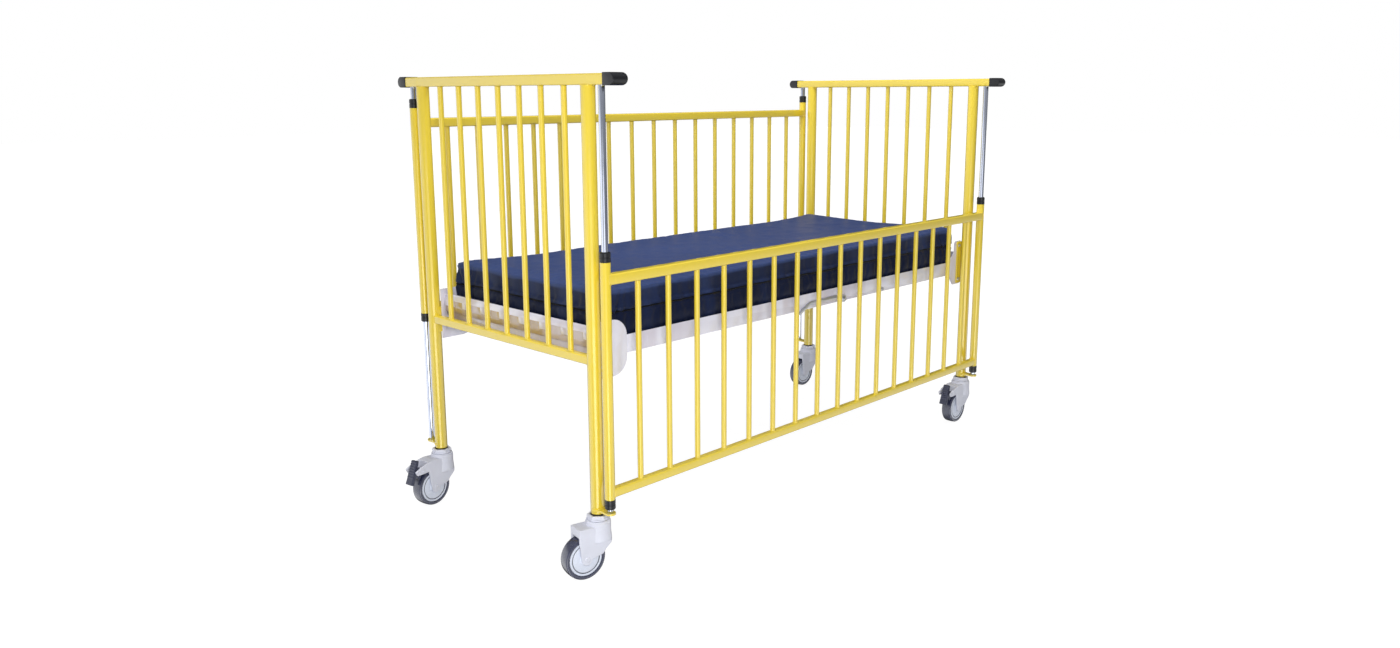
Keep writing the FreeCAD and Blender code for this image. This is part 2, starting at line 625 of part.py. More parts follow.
# ---- release lever on the near side member
def release_lever():
    x, y1 = LEVER_X, DECK_HALF + REST_GAP + LEVER_T
    y0 = y1 - LEVER_T
    bends = [(x + u, LEVER_Z + w) for u, w in ((0, 0), LEVER_KNEE, LEVER_ELBOW, LEVER_TIP)]
    body = bar_y(x, y0, y1, LEVER_Z, LEVER_BOSS_R)
    for a, b in zip(bends, bends[1:]):
        body = body.fuse(strap_y(a, LEVER_W / 2, b, LEVER_W / 2, y0, y1))
    body = body.removeSplitter()
    body = body.cut(bar_y(x, y0, y1, LEVER_Z, BOLT_R + RUNNING_GAP))
    return mirrored(body, -1)


def member_bolts():
    """The bolts that hold the racks, and the lever's bolt."""
    x = rack_span()[0] + RACK_BOLT_INSET
    solids = [bolt(x, DECK_HALF, MEMBER_IN - RACK_T, RACK_BOLT_Z, side) for side in (-1, 1)]
    face = DECK_HALF + LEVER_T + 2 * REST_GAP
    return solids + [bolt(LEVER_X, face, DECK_HALF - MEMBER_WALL, LEVER_Z, -1)]


# ---- mattress
def mattress(x0, x1, z0, round_foot, round_head):
    """One length of the mattress, its free upright corners rounded."""
    body = box(x0, x1, -MATTRESS_HALF, MATTRESS_HALF, z0, z0 + MATTRESS_T)
    def free(edge):
        b = edge.BoundBox
        at_foot = round_foot and b.XMax < x0 + 0.01
        at_head = round_head and b.XMin > x1 - 0.01
        return b.ZLength > 1 and (at_foot or at_head)
    corners = [e for e in body.Edges if free(e)]
    return body.makeFillet(MATTRESS_R, corners) if corners else body


# ---- casters, made in the trail frame: u along +X, width along Y
def stem():
    """Plug in the post and stem down into the fork."""
    plug_r = POST_R - POST_WALL
    foot = COLUMN_TOP - STEM_DEEP
    body = pole(0, 0, foot, POST_BOTTOM, STEM_R)
    body = body.fuse(pole(0, 0, foot, foot + STEM_HEAD_T, STEM_HEAD_R))
    return body.fuse(pole(0, 0, POST_BOTTOM, POST_BOTTOM + PLUG_H, plug_r))


def collar():
    """Six-sided collar under the post."""
    corner_r = COLLAR_FLATS / math.sqrt(3)
    points = [V(corner_r * math.cos(math.radians(60 * i)),
                corner_r * math.sin(math.radians(60 * i)), COLLAR_BOTTOM) for i in range(6)]
    body = Part.Face(Part.makePolygon(points + points[:1])).extrude(V(0, 0, COLLAR_H))
    cone = Part.makeCone(corner_r + COLLAR_H, COLLAR_FLATS / 2 - SEAM_DEPTH, COLLAR_H,
                         V(0, 0, COLLAR_BOTTOM))
    return body.common(cone).cut(pole(0, 0, COLLAR_BOTTOM, COLLAR_TOP, STEM_R))


def fork(braked):
    """Hood and two cheeks over the wheel, in one moulding with the swivel column."""
    lobe = (TRAIL, WHEEL_R)
    back_edge = PRONG if braked else ((FORK_BACK, FORK_TOP), (FORK_BACK, FORK_BACK_Z))
    outline = [(-COLUMN_R, FORK_TOP), *back_edge]
    outline += [(TRAIL + LOBE_R, WHEEL_R), lobe, *CHIN, (-COLUMN_BASE_R, COLUMN_BASE_Z)]
    cheeks = prism_y(outline, -FORK_HALF, FORK_HALF)
    cheeks = cheeks.fuse(bar_y(TRAIL, -FORK_HALF, FORK_HALF, WHEEL_R, LOBE_R))
    flare = Part.makeCone(COLUMN_BASE_R, COLUMN_R, COLUMN_SEAM_Z - COLUMN_BASE_Z,
                          V(0, 0, COLUMN_BASE_Z))
    column = flare.fuse(pole(0, 0, COLUMN_SEAM_Z, COLUMN_TOP, COLUMN_R))
    under = pole(0, 0, CHIN[1][1], COLUMN_BASE_Z, COLUMN_BASE_R)
    front = box(-COLUMN_BASE_R, 0, -FORK_HALF, FORK_HALF, 0, COLUMN_TOP)
    cheeks = cheeks.cut(front.cut(column.fuse(under)))
    body = cheeks.fuse(column)
    inner = FORK_HALF - CHEEK_T
    cavity = bar_y(TRAIL, -inner, inner, WHEEL_R, WHEEL_R + WHEEL_GAP)
    back = max(u for u, z in PRONG) + WHEEL_GAP
    mouth_top = WHEEL_R + WHEEL_R + WHEEL_GAP
    cavity = cavity.fuse(box(TRAIL, back, -inner, inner, 0, mouth_top))
    body = body.cut(cavity)
    seam = pole(0, 0, COLUMN_SEAM_Z, COLUMN_SEAM_Z + SEAM_DEPTH, COLUMN_R)
    body = body.cut(seam.cut(pole(0, 0, COLUMN_SEAM_Z, COLUMN_SEAM_Z + SEAM_DEPTH,
                                  COLUMN_R - SEAM_DEPTH)))
    foot = COLUMN_TOP - STEM_DEEP
    body = body.cut(pole(0, 0, foot - SWIVEL_GAP, COLUMN_TOP, STEM_R + RUNNING_GAP))
    body = body.cut(pole(0, 0, foot - SWIVEL_GAP, foot + STEM_HEAD_T + SWIVEL_GAP,
                         STEM_HEAD_R + RUNNING_GAP))
    if braked:
        body = body.cut(box(PRONG_SLOT_U, back, -inner, inner, 0, COLUMN_TOP))
    body = body.cut(bar_y(TRAIL, -FORK_HALF, FORK_HALF, WHEEL_R, AXLE_R))
    if braked:
        body = body.cut(bar_y(PEDAL_U, -FORK_HALF, FORK_HALF, PEDAL_Z, PEDAL_PIN_R))
    return body


def headed_pin(u, z, radius, head_r):
    """Pin across the fork with a flat head outside each cheek."""
    body = bar_y(u, -FORK_HALF - AXLE_HEAD_T, FORK_HALF + AXLE_HEAD_T, z, radius)
    for y in (-FORK_HALF - AXLE_HEAD_T, FORK_HALF):
        body = body.fuse(bar_y(u, y, y + AXLE_HEAD_T, z, head_r))
    return body


def hub():
    """Wheel centre with a recessed ring on both faces and a boss on the axle."""
    body = bar_y(TRAIL, -HUB_W / 2, HUB_W / 2, WHEEL_R, HUB_R)
    for y in (-HUB_W / 2, HUB_W / 2 - HUB_RECESS):
        body = body.cut(bar_y(TRAIL, y, y + HUB_RECESS, WHEEL_R, HUB_RECESS_R))
    body = body.fuse(bar_y(TRAIL, -HUB_HALF, HUB_HALF, WHEEL_R, HUB_BOSS_R))
    return body.cut(bar_y(TRAIL, -HUB_HALF, HUB_HALF, WHEEL_R, AXLE_R + RUNNING_GAP))


def tyre():
    body = bar_y(TRAIL, -TREAD_W / 2, TREAD_W / 2, WHEEL_R, WHEEL_R)
    body = body.makeFillet(TREAD_ROUND, [e for e in body.Edges if e.BoundBox.YLength < 0.01])
    return body.cut(bar_y(TRAIL, -TREAD_W / 2, TREAD_W / 2, WHEEL_R, HUB_R))


def brake_pad():
    """The pad's two corners at rest, from where they meet the tyre when pressed."""
    turn = math.radians(PEDAL_PRESS)
    corners = []
    for arc in PAD_ARC:
        reach = WHEEL_R + PAD_GAP
        u = TRAIL + reach * math.cos(math.radians(arc)) - PEDAL_U
        z = WHEEL_R + reach * math.sin(math.radians(arc)) - PEDAL_Z
        corners.append((PEDAL_U + u * math.cos(turn) - z * math.sin(turn),
                        PEDAL_Z + u * math.sin(turn) + z * math.cos(turn)))
    return corners


def pedal():
    """Foot plate and brake pad on a barrel between the fork's prongs."""
    plate = prism_y(pedal_corners(), -PEDAL_HALF, PEDAL_HALF)
    (u0, z0), (u1, z1) = PEDAL_TOP, PEDAL_TOE
    at = [(u0 + (u1 - u0) * t, z0 + (z1 - z0) * t) for t in PEDAL_NECK]
    pad_in, pad_out = brake_pad()
    neck = prism_y([(PEDAL_U, PEDAL_Z + PEDAL_BARREL_R), at[0], at[1], pad_out, pad_in],
                   -PEDAL_HALF, PEDAL_HALF)
    body = plate.fuse(neck).fuse(bar_y(PEDAL_U, -HUB_HALF, HUB_HALF, PEDAL_Z, PEDAL_BARREL_R))
    body = body.removeSplitter()
    return body.cut(bar_y(PEDAL_U, -HUB_HALF, HUB_HALF, PEDAL_Z, PEDAL_PIN_R + RUNNING_GAP))


def caster_nodes():
    """Nodes of the four casters, one set per corner."""
    nodes = {"caster_stems": [], "caster_collars": []}
    for corner, (end, side, angle, braked) in CASTERS.items():
        x = X_FOOT if end == "foot" else X_HEAD
        pins = [headed_pin(TRAIL, WHEEL_R, AXLE_R, AXLE_HEAD_R)]
        if braked:
            pins.append(headed_pin(PEDAL_U, PEDAL_Z, PEDAL_PIN_R, PEDAL_PIN_HEAD_R))
            nodes[corner + "_pedal"] = [pedal()]
        nodes[corner + "_fork"] = [fork(braked)]
        nodes[corner + "_pins"] = pins
        nodes[corner + "_hub"] = [hub()]
        nodes[corner + "_tyre"] = [tyre()]
        for name in ("_pedal", "_fork", "_pins", "_hub", "_tyre"):
            if corner + name in nodes:
                nodes[corner + name] = [place_at_post(s, x, side, angle)
                                        for s in nodes[corner + name]]
        nodes["caster_stems"].append(place_at_post(stem(), x, side, 0))
        nodes["caster_collars"].append(place_at_post(collar(), x, side, 0))
    return nodes


def build():
    os.makedirs("parts", exist_ok=True)
    corners = [(x, side) for x in (X_FOOT, X_HEAD) for side in (-1, 1)]
    ends = [(end, side) for end in ("foot", "head") for side in (-1, 1)]
    nodes = {}
    for end, x in (("foot", X_FOOT), ("head", X_HEAD)):
        posts, rails, bars = end_frame(x)
        nodes[end + "_frame_posts"] = posts
        nodes[end + "_frame_rails"] = rails
        nodes[end + "_frame_bars"] = bars
    nodes["guide_rods"] = [guide_rod(x, side) for x, side in corners]
    nodes["corner_buffers"] = [corner_buffer(x, side) for x, side in corners]
    nodes["rod_brackets"] = [rod_bracket(x, side) for x, side in corners]
    for name, side, lift in (("near", -1, 0.0), ("far", 1, RAISED)):
        sleeves, rails, bars, bushes = drop_side(side, lift)
        nodes[name + "_side_sleeves"] = sleeves
        nodes[name + "_side_rails"] = rails
        nodes[name + "_side_bars"] = bars
        nodes[name + "_side_bushes"] = bushes
    nodes["deck_side_members"] = [side_member(side) for side in (-1, 1)]
    nodes["deck_end_members"] = [end_member(X_FOOT, 1), end_member(X_HEAD, -1)]
    split = HINGE.x - KNUCKLE_R - 2 * PANEL_T
    inner_end = END_INSET + LIP_T + PANEL_EDGE_GAP
    nodes["deck_cross_members"] = [cross_member(split),
                                   cross_member(X_HEAD - END_INSET - MEMBER_W - CROSS_W)]
    nodes["foot_panel"] = [panel(X_FOOT + inner_end, split, PANEL_BOTTOM)]
    nodes["corner_plates"] = [corner_plate(end, side) for end, side in ends]
    nodes["post_lugs"] = [post_lug(end, side) for end, side in ends]
    nodes["deck_bolts"] = deck_bolts()
    nodes["member_bolts"] = member_bolts()
    nodes["backrest_pin"] = [bar_y(HINGE.x, -MEMBER_IN - MEMBER_WALL, MEMBER_IN + MEMBER_WALL,
                                   HINGE_Z, HINGE_PIN_R)]
    nodes["stay_racks"] = [rack(side) for side in (-1, 1)]
    nodes["backrest_panel"] = [panel(BACK_START, X_HEAD - inner_end, BACK_BOTTOM)]
    nodes["backrest_knuckles"] = knuckles()
    nodes["backrest_ribs"] = [rib(side) for side in (-1, 1)]
    nodes["stay_pins"] = [stay_pin(side) for side in (-1, 1)]
    nodes["stay_arms"] = [stay_arm(side) for side in (-1, 1)]
    nodes["stay_foot_rod"] = [foot_rod()]
    nodes["release_lever"] = [release_lever()]
    bend = (HINGE.x - BEND_HALF, HINGE.x + BEND_HALF)
    lying = DECK_TOP + REST_GAP
    nodes["mattress_foot"] = [mattress(X_FOOT + MATTRESS_INSET, bend[0], DECK_TOP, True, False)]
    nodes["mattress_bend"] = [mattress(bend[0], bend[1], lying, False, False)]
    nodes["mattress_head"] = [mattress(bend[1] + REST_GAP, X_HEAD - MATTRESS_INSET, lying,
                                       False, True)]
    nodes.update(caster_nodes())
    for node, solids in nodes.items():
        write(node, solids)


build()
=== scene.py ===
import json
import math
import random

import bmesh
import bpy
from bpy.props import FloatProperty, FloatVectorProperty, IntProperty, PointerProperty
from mathutils import Matrix, Vector, noise


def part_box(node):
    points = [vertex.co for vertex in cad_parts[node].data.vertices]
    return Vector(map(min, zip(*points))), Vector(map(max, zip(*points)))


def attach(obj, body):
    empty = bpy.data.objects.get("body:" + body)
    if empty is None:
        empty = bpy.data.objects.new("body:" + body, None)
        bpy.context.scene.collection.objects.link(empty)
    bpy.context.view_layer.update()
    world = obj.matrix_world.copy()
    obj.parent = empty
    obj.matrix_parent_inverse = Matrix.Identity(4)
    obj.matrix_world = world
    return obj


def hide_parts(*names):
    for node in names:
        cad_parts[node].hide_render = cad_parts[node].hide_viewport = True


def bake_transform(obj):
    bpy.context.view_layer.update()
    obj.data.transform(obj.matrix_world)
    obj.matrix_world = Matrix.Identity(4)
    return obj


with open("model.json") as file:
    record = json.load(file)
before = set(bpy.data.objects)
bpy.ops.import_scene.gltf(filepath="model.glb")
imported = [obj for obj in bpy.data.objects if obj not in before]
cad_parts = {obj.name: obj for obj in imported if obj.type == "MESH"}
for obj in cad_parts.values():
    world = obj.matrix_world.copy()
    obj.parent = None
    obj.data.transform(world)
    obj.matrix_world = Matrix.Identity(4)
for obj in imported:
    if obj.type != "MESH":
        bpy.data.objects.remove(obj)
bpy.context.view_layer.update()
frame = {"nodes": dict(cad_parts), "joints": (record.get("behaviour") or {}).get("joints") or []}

bl_info = {
    "name": "Pediatric Hospital Cot",
    "version": (1, 0, 0),
    "blender": (4, 5, 0),
    "location": "View3D > Sidebar > Cot",
    "description": "Dresses the cot's packed frame with finished pieces, materials and a studio",
    "category": "Object",
}

MM = 0.001
SMOOTH_ANGLE = math.radians(32)      # edges sharper than this stay sharp
ROUND_SEGMENTS = 28                  # sides of a round bar


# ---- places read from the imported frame
def joint_named(name):
    return next(j for j in frame["joints"] if j["name"] == name)


POST_BOX = {end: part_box(end + "_frame_posts") for end in ("foot", "head")}
POST_X = {end: (box[0].x + box[1].x) / 2 for end, box in POST_BOX.items()}
POST_R = (POST_BOX["foot"][1].x - POST_BOX["foot"][0].x) / 2
POST_Y = POST_BOX["foot"][1].y - POST_R
ROD_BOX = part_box("guide_rods")
ROD_R = ROD_BOX[1].x - POST_X["head"]
ROD_Y = ROD_BOX[1].y - ROD_R
MATTRESS_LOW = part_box("mattress_foot")[0]
MATTRESS_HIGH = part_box("mattress_head")[1]
SIDES = {"near": -1, "far": 1}
CORNERS = {"near_left": ("foot", -1), "far_left": ("foot", 1),
           "near_right": ("head", -1), "far_right": ("head", 1)}
END_BARS = 7
SIDE_BARS = 16
LOW_RAIL_SHARE = 6 / 7               # lower rails' size, as a share of the upper ones'


def tone(red, green, blue):
    """Linear colour of an eight-bit display colour."""
    def linear(value):
        value /= 255
        return value / 12.92 if value <= 0.04045 else ((value + 0.055) / 1.055) ** 2.4
    return tuple(linear(v) for v in (red, green, blue))


# ---- what a user would change
class CotSizes(bpy.types.PropertyGroup):
    edge_round: FloatProperty(name="Edge round", description="Rounding of plain steel edges",
                              default=0.8 * MM, min=0.1 * MM, max=2 * MM, unit="LENGTH")
    rail_round: FloatProperty(name="Rail round", description="Corner radius of square tubes",
                              default=4.0 * MM, min=0.5 * MM, max=8 * MM, unit="LENGTH")
    weld: FloatProperty(name="Weld bead", description="Radius of the beads round the joints",
                        default=1.8 * MM, min=0.5 * MM, max=4 * MM, unit="LENGTH")
    seam_height: FloatProperty(name="Seam height", default=81 * MM, min=30 * MM, max=120 * MM,
                               description="Mattress underside to its piped seam",
                               unit="LENGTH")
    piping: FloatProperty(name="Piping", description="Radius of the mattress' piping",
                          default=2.8 * MM, min=1 * MM, max=5 * MM, unit="LENGTH")
    edge_soft: FloatProperty(name="Soft edge", description="Radius of the mattress' edges",
                             default=10 * MM, min=5 * MM, max=50 * MM, unit="LENGTH")
    swell: FloatProperty(name="Swell", description="How far the cover may swell",
                         default=9 * MM, min=0, max=30 * MM, unit="LENGTH")
    pressure: FloatProperty(name="Pressure", description="Filling pressure of the mattress",
                            default=4.0, min=0, max=20)
    voxel: FloatProperty(name="Cloth grid", description="Grid of the mattress' simulation",
                         default=7.5 * MM, min=4 * MM, max=30 * MM, unit="LENGTH")
    pedal_ribs: IntProperty(name="Pedal ribs", description="Grip ribs across a brake pedal",
                            default=7, min=2, max=12)
    camera_turn: FloatProperty(name="Camera turn", description="Roll of the camera",
                               default=-0.003446, subtype="ANGLE")


class CotColours(bpy.types.PropertyGroup):
    frame: FloatVectorProperty(name="Frame", description="Enamel of the frames and sides",
                               default=tone(236, 209, 56), subtype="COLOR", min=0, max=1)
    deck: FloatVectorProperty(name="Deck", description="Enamel of the deck",
                              default=tone(230, 230, 246), subtype="COLOR", min=0, max=1)
    # Painted shade, tinted by the yellow rails' bounce, for the deck's recessed faces.
    recess_shade: FloatVectorProperty(name="Recess", description="Undercoat of the deck's recessed faces",
                                default=tone(166, 140, 98), subtype="COLOR", min=0, max=1)
    chrome: FloatVectorProperty(name="Rods", description="Plating of the guide rods",
                                default=tone(204, 210, 226), subtype="COLOR", min=0, max=1)
    zinc: FloatVectorProperty(name="Fasteners", description="Plating of bolts and pins",
                              default=tone(196, 198, 204), subtype="COLOR", min=0, max=1)
    buffer: FloatVectorProperty(name="Buffers", description="Plastic of buffers and bushes",
                                default=tone(13, 15, 21), subtype="COLOR", min=0, max=1)
    cover: FloatVectorProperty(name="Cover", description="Mattress cover",
                               default=tone(61, 77, 124), subtype="COLOR", min=0, max=1)
    # Painted shade: darker cover colour for the mattress' upright sides.
    skirt: FloatVectorProperty(name="Skirt", description="Sides of the mattress cover",
                               default=tone(14, 22, 47), subtype="COLOR", min=0, max=1)
    piping: FloatVectorProperty(name="Piping", description="Mattress piping",
                                default=tone(5, 7, 14), subtype="COLOR", min=0, max=1)
    caster: FloatVectorProperty(name="Casters", description="Plastic of the caster forks",
                                default=tone(224, 226, 238), subtype="COLOR", min=0, max=1)
    hub: FloatVectorProperty(name="Hubs", description="Plastic of the wheel centres",
                             default=tone(226, 232, 246), subtype="COLOR", min=0, max=1)
    tyre: FloatVectorProperty(name="Tyres", description="Tread of the wheels",
                              default=tone(50, 54, 78), subtype="COLOR", min=0, max=1)
    pedal: FloatVectorProperty(name="Pedals", description="Plastic of the brake pedals",
                               default=tone(62, 65, 84), subtype="COLOR", min=0, max=1)
    floor: FloatVectorProperty(name="Floor", description="Studio floor",
                               default=(0.6, 0.6, 0.6), subtype="COLOR", min=0, max=1)


# ---- node trees, for materials and for geometry
class Sock:
    """A node's output that Python's operators work on: each adds a Math node."""

    def __init__(self, tree, socket):
        self.tree = tree
        self.socket = socket

    def of(self, name):
        """Another output of the same node."""
        return Sock(self.tree, self.socket.node.outputs[name])

    def math(self, operation, first, second):
        return self.tree.node("ShaderNodeMath", {"operation": operation}, {0: first, 1: second})

    def __add__(self, other):
        return self.math("ADD", self, other)

    def __sub__(self, other):
        return self.math("SUBTRACT", self, other)

    def __rsub__(self, other):
        return self.math("SUBTRACT", other, self)

    def __mul__(self, other):
        return self.math("MULTIPLY", self, other)

    __radd__ = __add__
    __rmul__ = __mul__


class Tree:
    """A node tree with one method that makes any node in it."""

    def __init__(self, tree):
        self.tree = tree
        self.tree.nodes.clear()

    def plug(self, socket, value):
        """Set a node's input, or link it to an output or to each of a list of outputs."""
        for source in value if isinstance(value, list) else [value]:
            if isinstance(source, Sock):
                self.tree.links.new(source.socket, socket)
            else:
                socket.default_value = source

    def node(self, kind, settings=None, inputs=None, out=0):
        made = self.tree.nodes.new(kind)
        for key, value in (settings or {}).items():
            setattr(made, key, value)
        for key, value in (inputs or {}).items():
            self.plug(made.inputs[key], value)
        return Sock(self, made.outputs[out]) if made.outputs else made

    def band(self, value, low, high):
        """0 below low, 1 above high, smooth between."""
        return self.node("ShaderNodeMapRange", {"interpolation_type": "SMOOTHSTEP"},
                         {"Value": value, "From Min": low, "From Max": high})

    def blend(self, factor, first, second):
        """Colour from first to second."""
        first, second = [c if isinstance(c, Sock) else (*c[:3], 1) for c in (first, second)]
        return self.node("ShaderNodeMix", {"data_type": "RGBA"},
                         {"Factor": factor, 6: first, 7: second}, out=2)


class Finish(Tree):
    """A material with one Principled surface."""

    def __init__(self, name, **fixed):
        self.material = bpy.data.materials.new(name)
        self.material.use_nodes = True
        super().__init__(self.material.node_tree)
        self.place = self.node("ShaderNodeTexCoord", out="Object")
        self.surface = self.node("ShaderNodeBsdfPrincipled")
        self.node("ShaderNodeOutputMaterial", {}, {"Surface": self.surface})
        for key, value in fixed.items():
            self.feed(key.replace("_", " ").title(), value)

    def feed(self, name, value):
        """Set or link one of the surface's sockets."""
        self.plug(self.surface.socket.node.inputs[name], value)

    def noise(self, scale, detail=2.0, rough=0.5, stretch=None):
        """Cloudy value from 0 to 1, with scale cells in a metre."""
        place = self.place
        if stretch:
            place = self.node("ShaderNodeMapping", {}, {"Vector": place, "Scale": stretch})
        return self.node("ShaderNodeTexNoise", {}, {"Vector": place, "Scale": scale,
                                                     "Detail": detail, "Roughness": rough})

    def attribute(self, name):
        """A number stored on the mesh, 0 where it has none."""
        return self.node("ShaderNodeAttribute", {"attribute_name": name}, out="Fac")

    def cells(self, scale):
        return self.node("ShaderNodeTexVoronoi", {}, {"Vector": self.place, "Scale": scale})

    def bump(self, height, distance, strength=1.0):
        return self.node("ShaderNodeBump", {}, {"Height": height, "Distance": distance,
                                                "Strength": strength})


def shade_of(colour, factor):
    return tuple(min(1, c * factor) for c in colour[:3])


def enamel(name, colour, second, rough=0.2, wear=0.25, painted_reflections=0.0):
    """Stove enamel: clouds, orange peel, rubbed patches, scratches, and painted reflections as
    upright streaks.
    """
    m = Finish(name, coat_roughness=0.1)
    m.feed("Specular IOR Level", 0.7)
    dull, worn = shade_of(colour, 0.82), shade_of(colour, 1.2)
    clouds = m.noise(5, 3)
    rubbed = m.band(m.noise(22, 4, 0.6), 0.56, 0.72)
    scratch = m.band(m.noise(60, 2, 0.5, (6, 6, 0.5)), 0.66, 0.70)
    colour = m.blend(m.attribute("second"), colour, second)
    # Painted reflections: upright pinkish-grey streaks.
    if painted_reflections:
        reflection_bands = m.band(m.noise(15, 1, 0.5, (1, 1, 0.03)), 0.42, 0.62)
        reflected_tint = tuple(c * f for c, f in zip(dull, (0.86, 0.78, 0.8)))
        colour = m.blend(reflection_bands * painted_reflections, colour, reflected_tint)
    colour = m.blend(clouds * 0.16, colour, dull)
    m.feed("Base Color", m.blend(scratch * wear, colour, worn))
    m.feed("Roughness", rubbed * (wear * 0.45) + rough)
    m.feed("Coat Weight", 0.9 - rubbed * wear)
    m.feed("Normal", m.bump(m.noise(420, 1), 0.04 * MM, 0.5))
    return m.material


def moulded(name, colour, rough=0.35, grain=900, depth=0.04, groove=0.3):
    """Moulded plastic: fine spark-eroded grain, slight clouds, handled patches; faces tagged second
    are darkened by groove as painted shade.
    """
    m = Finish(name)
    clouds = m.noise(30, 3)
    worn = m.band(m.noise(80, 3, 0.6), 0.5, 0.75)
    shade = m.blend(clouds, shade_of(colour, 0.93), shade_of(colour, 1.05))
    m.feed("Base Color", m.blend(m.attribute("second"), shade, shade_of(colour, groove)))
    m.feed("Roughness", worn * 0.12 + rough)
    m.feed("Normal", m.bump(m.noise(grain, 2), depth * MM, 0.6))
    return m.material


def plated(name, colour, rough, streak=(1, 1, 30)):
    """Plated steel with fine drawing lines along Z or as streak says."""
    m = Finish(name, metallic=1.0)
    lines = m.noise(260, 2, 0.5, streak)
    stains = m.band(m.noise(14, 4), 0.5, 0.8)
    m.feed("Base Color", m.blend(stains, colour, shade_of(colour, 0.86)))
    m.feed("Roughness", lines * 0.08 + stains * 0.06 + rough)
    m.feed("Normal", m.bump(lines, 0.01 * MM, 0.5))
    return m.material


def coated_cloth(name, colour, skirt, rough=0.42):
    """Wipe-clean coated fabric with a leathery grain; the sides take the skirt colour, which is
    painted shade.
    """
    m = Finish(name)
    m.feed("Specular IOR Level", 0.14)
    clouds = m.noise(3.5, 4, 0.55)
    grain = m.cells(520)
    fine = m.noise(1400, 2)
    rubbed = m.band(m.noise(9, 4, 0.6), 0.45, 0.7)
    base = m.blend(m.attribute("second"), colour, skirt)
    m.feed("Base Color", m.blend(clouds * 0.3, base, shade_of(skirt, 1.8)))
    m.feed("Roughness", rubbed * 0.12 + rough)
    m.feed("Normal", m.bump(grain * 0.8 + fine * 0.4, 0.16 * MM, 0.45))
    return m.material


def polyurethane(name, colour):
    """Tread of a wheel: smooth and glossy, dusty where it rolls."""
    m = Finish(name, coat_roughness=0.08, coat_weight=0.8)
    dust = m.band(m.noise(70, 4, 0.65), 0.45, 0.75)
    m.feed("Base Color", m.blend(dust * 0.4, colour, shade_of(colour, 1.6)))
    m.feed("Roughness", dust * 0.2 + 0.22)
    m.feed("Normal", m.bump(m.noise(600, 2), 0.03 * MM, 0.5))
    return m.material


FINISHES = {}


def finish(slot):
    """The material of a slot, made when it is first asked for."""
    if slot not in FINISHES:
        c = bpy.context.scene.cot_colours
        make = {
            "yellow_paint": lambda: enamel("Frame_enamel", c.frame, c.frame, 0.3, 0.3),
            # The deck's second colour is painted shade in the recess; its upright streaks are
            # painted reflections.
            "white_paint": lambda: enamel("Deck_enamel", c.deck, c.recess_shade, 0.16, 0.15, 0.6),
            "chrome": lambda: plated("Rod_chrome", c.chrome, 0.1),
            "steel": lambda: plated("Zinc_plate", c.zinc, 0.28, (1, 1, 1)),
            "black_plastic": lambda: moulded("Buffer_plastic", c.buffer, 0.36),
            "mattress_cover": lambda: coated_cloth("Cover_cloth", c.cover, c.skirt),
            "piping": lambda: coated_cloth("Piping_cloth", c.piping, c.piping, 0.35),
            "caster_grey": lambda: moulded("Caster_plastic", c.caster, 0.42),
            "hub_grey": lambda: moulded("Hub_plastic", c.hub, 0.26),
            "tyre": lambda: polyurethane("Tyre_tread", c.tyre),
            "pedal_plastic": lambda: moulded("Pedal_plastic", c.pedal, 0.42, 700, 0.08),
        }[slot]
        FINISHES[slot] = make()
    return FINISHES[slot]


# ---- mesh helpers
def settle(mesh):
    """Smooth shading, with the sharp edges kept."""
    mesh.polygons.foreach_set("use_smooth", [True] * len(mesh.polygons))
    mesh.set_sharp_from_angle(angle=SMOOTH_ANGLE)


def tint(mesh, chosen):
    """Store 1 on the chosen faces, which take their finish's second colour."""
    values = []
    for face in mesh.polygons:
        values += [1.0 if chosen(face) else 0.0] * face.loop_total
    mesh.attributes.new("second", "FLOAT", "CORNER").data.foreach_set("value", values)


def link(name, data):
    """A new object in the scene with this mesh, lamp or camera."""
    obj = bpy.data.objects.new(name, data)
    bpy.context.scene.collection.objects.link(obj)
    return obj


def box_of(points):
    """Lowest and highest corner round some points."""
    return [Vector([pick(p[i] for p in points) for i in range(3)]) for pick in (min, max)]


def to_object(name, bm):
    """A new object from a bmesh, which is freed."""
    mesh = bpy.data.meshes.new(name)
    bm.to_mesh(mesh)
    bm.free()
    return link(name, mesh)


def outward(bm):
    bmesh.ops.recalc_face_normals(bm, faces=bm.faces)


def bake(obj):
    """Put the result of an object's modifiers in place of its mesh."""
    graph = bpy.context.evaluated_depsgraph_get()
    mesh = bpy.data.meshes.new_from_object(obj.evaluated_get(graph), depsgraph=graph)
    obj.modifiers.clear()
    old = obj.data
    obj.data = mesh
    bpy.data.meshes.remove(old)


def round_edges(obj, width, segments=2):
    """Round an object's sharp edges and shade it smooth."""
    bevel = obj.modifiers.new("round", "BEVEL")
    bevel.width = width
    bevel.segments = segments
    bevel.limit_method = "ANGLE"
    bevel.angle_limit = SMOOTH_ANGLE
    bake(obj)
    settle(obj.data)


def piece(name, bm, slot, body, replaces=(), paint=None):
    """Turn a bmesh into a finished piece that rides on a body."""
    outward(bm)
    obj = to_object(name, bm)
    settle(obj.data)
    return dress(obj, slot, body, replaces, paint)


def dress(obj, slot, body, replaces=(), paint=None):
    """Give a piece its finish, its body and the nodes it stands for."""
    obj.data.materials.clear()
    obj.data.materials.append(finish(paint or slot))
    if body:
        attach(obj, body)
    if replaces:
        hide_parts(*replaces)
    return obj


def merged(node):
    """A CAD node's mesh as clean faces."""
    bm = bmesh.new()
    bm.from_mesh(frame["nodes"][node].data)
    bmesh.ops.remove_doubles(bm, verts=bm.verts, dist=0.005 * MM)
    bmesh.ops.dissolve_limit(bm, angle_limit=math.radians(0.6), verts=bm.verts, edges=bm.edges)
    return bm


def refined(node, name, slot, body, width=None, segments=2, paint=None):
    """A CAD node with its edges rounded and its round faces smooth."""
    obj = to_object(name, merged(node))
    round_edges(obj, width or bpy.context.scene.cot_sizes.edge_round, segments)
    return dress(obj, slot, body, [node], paint)


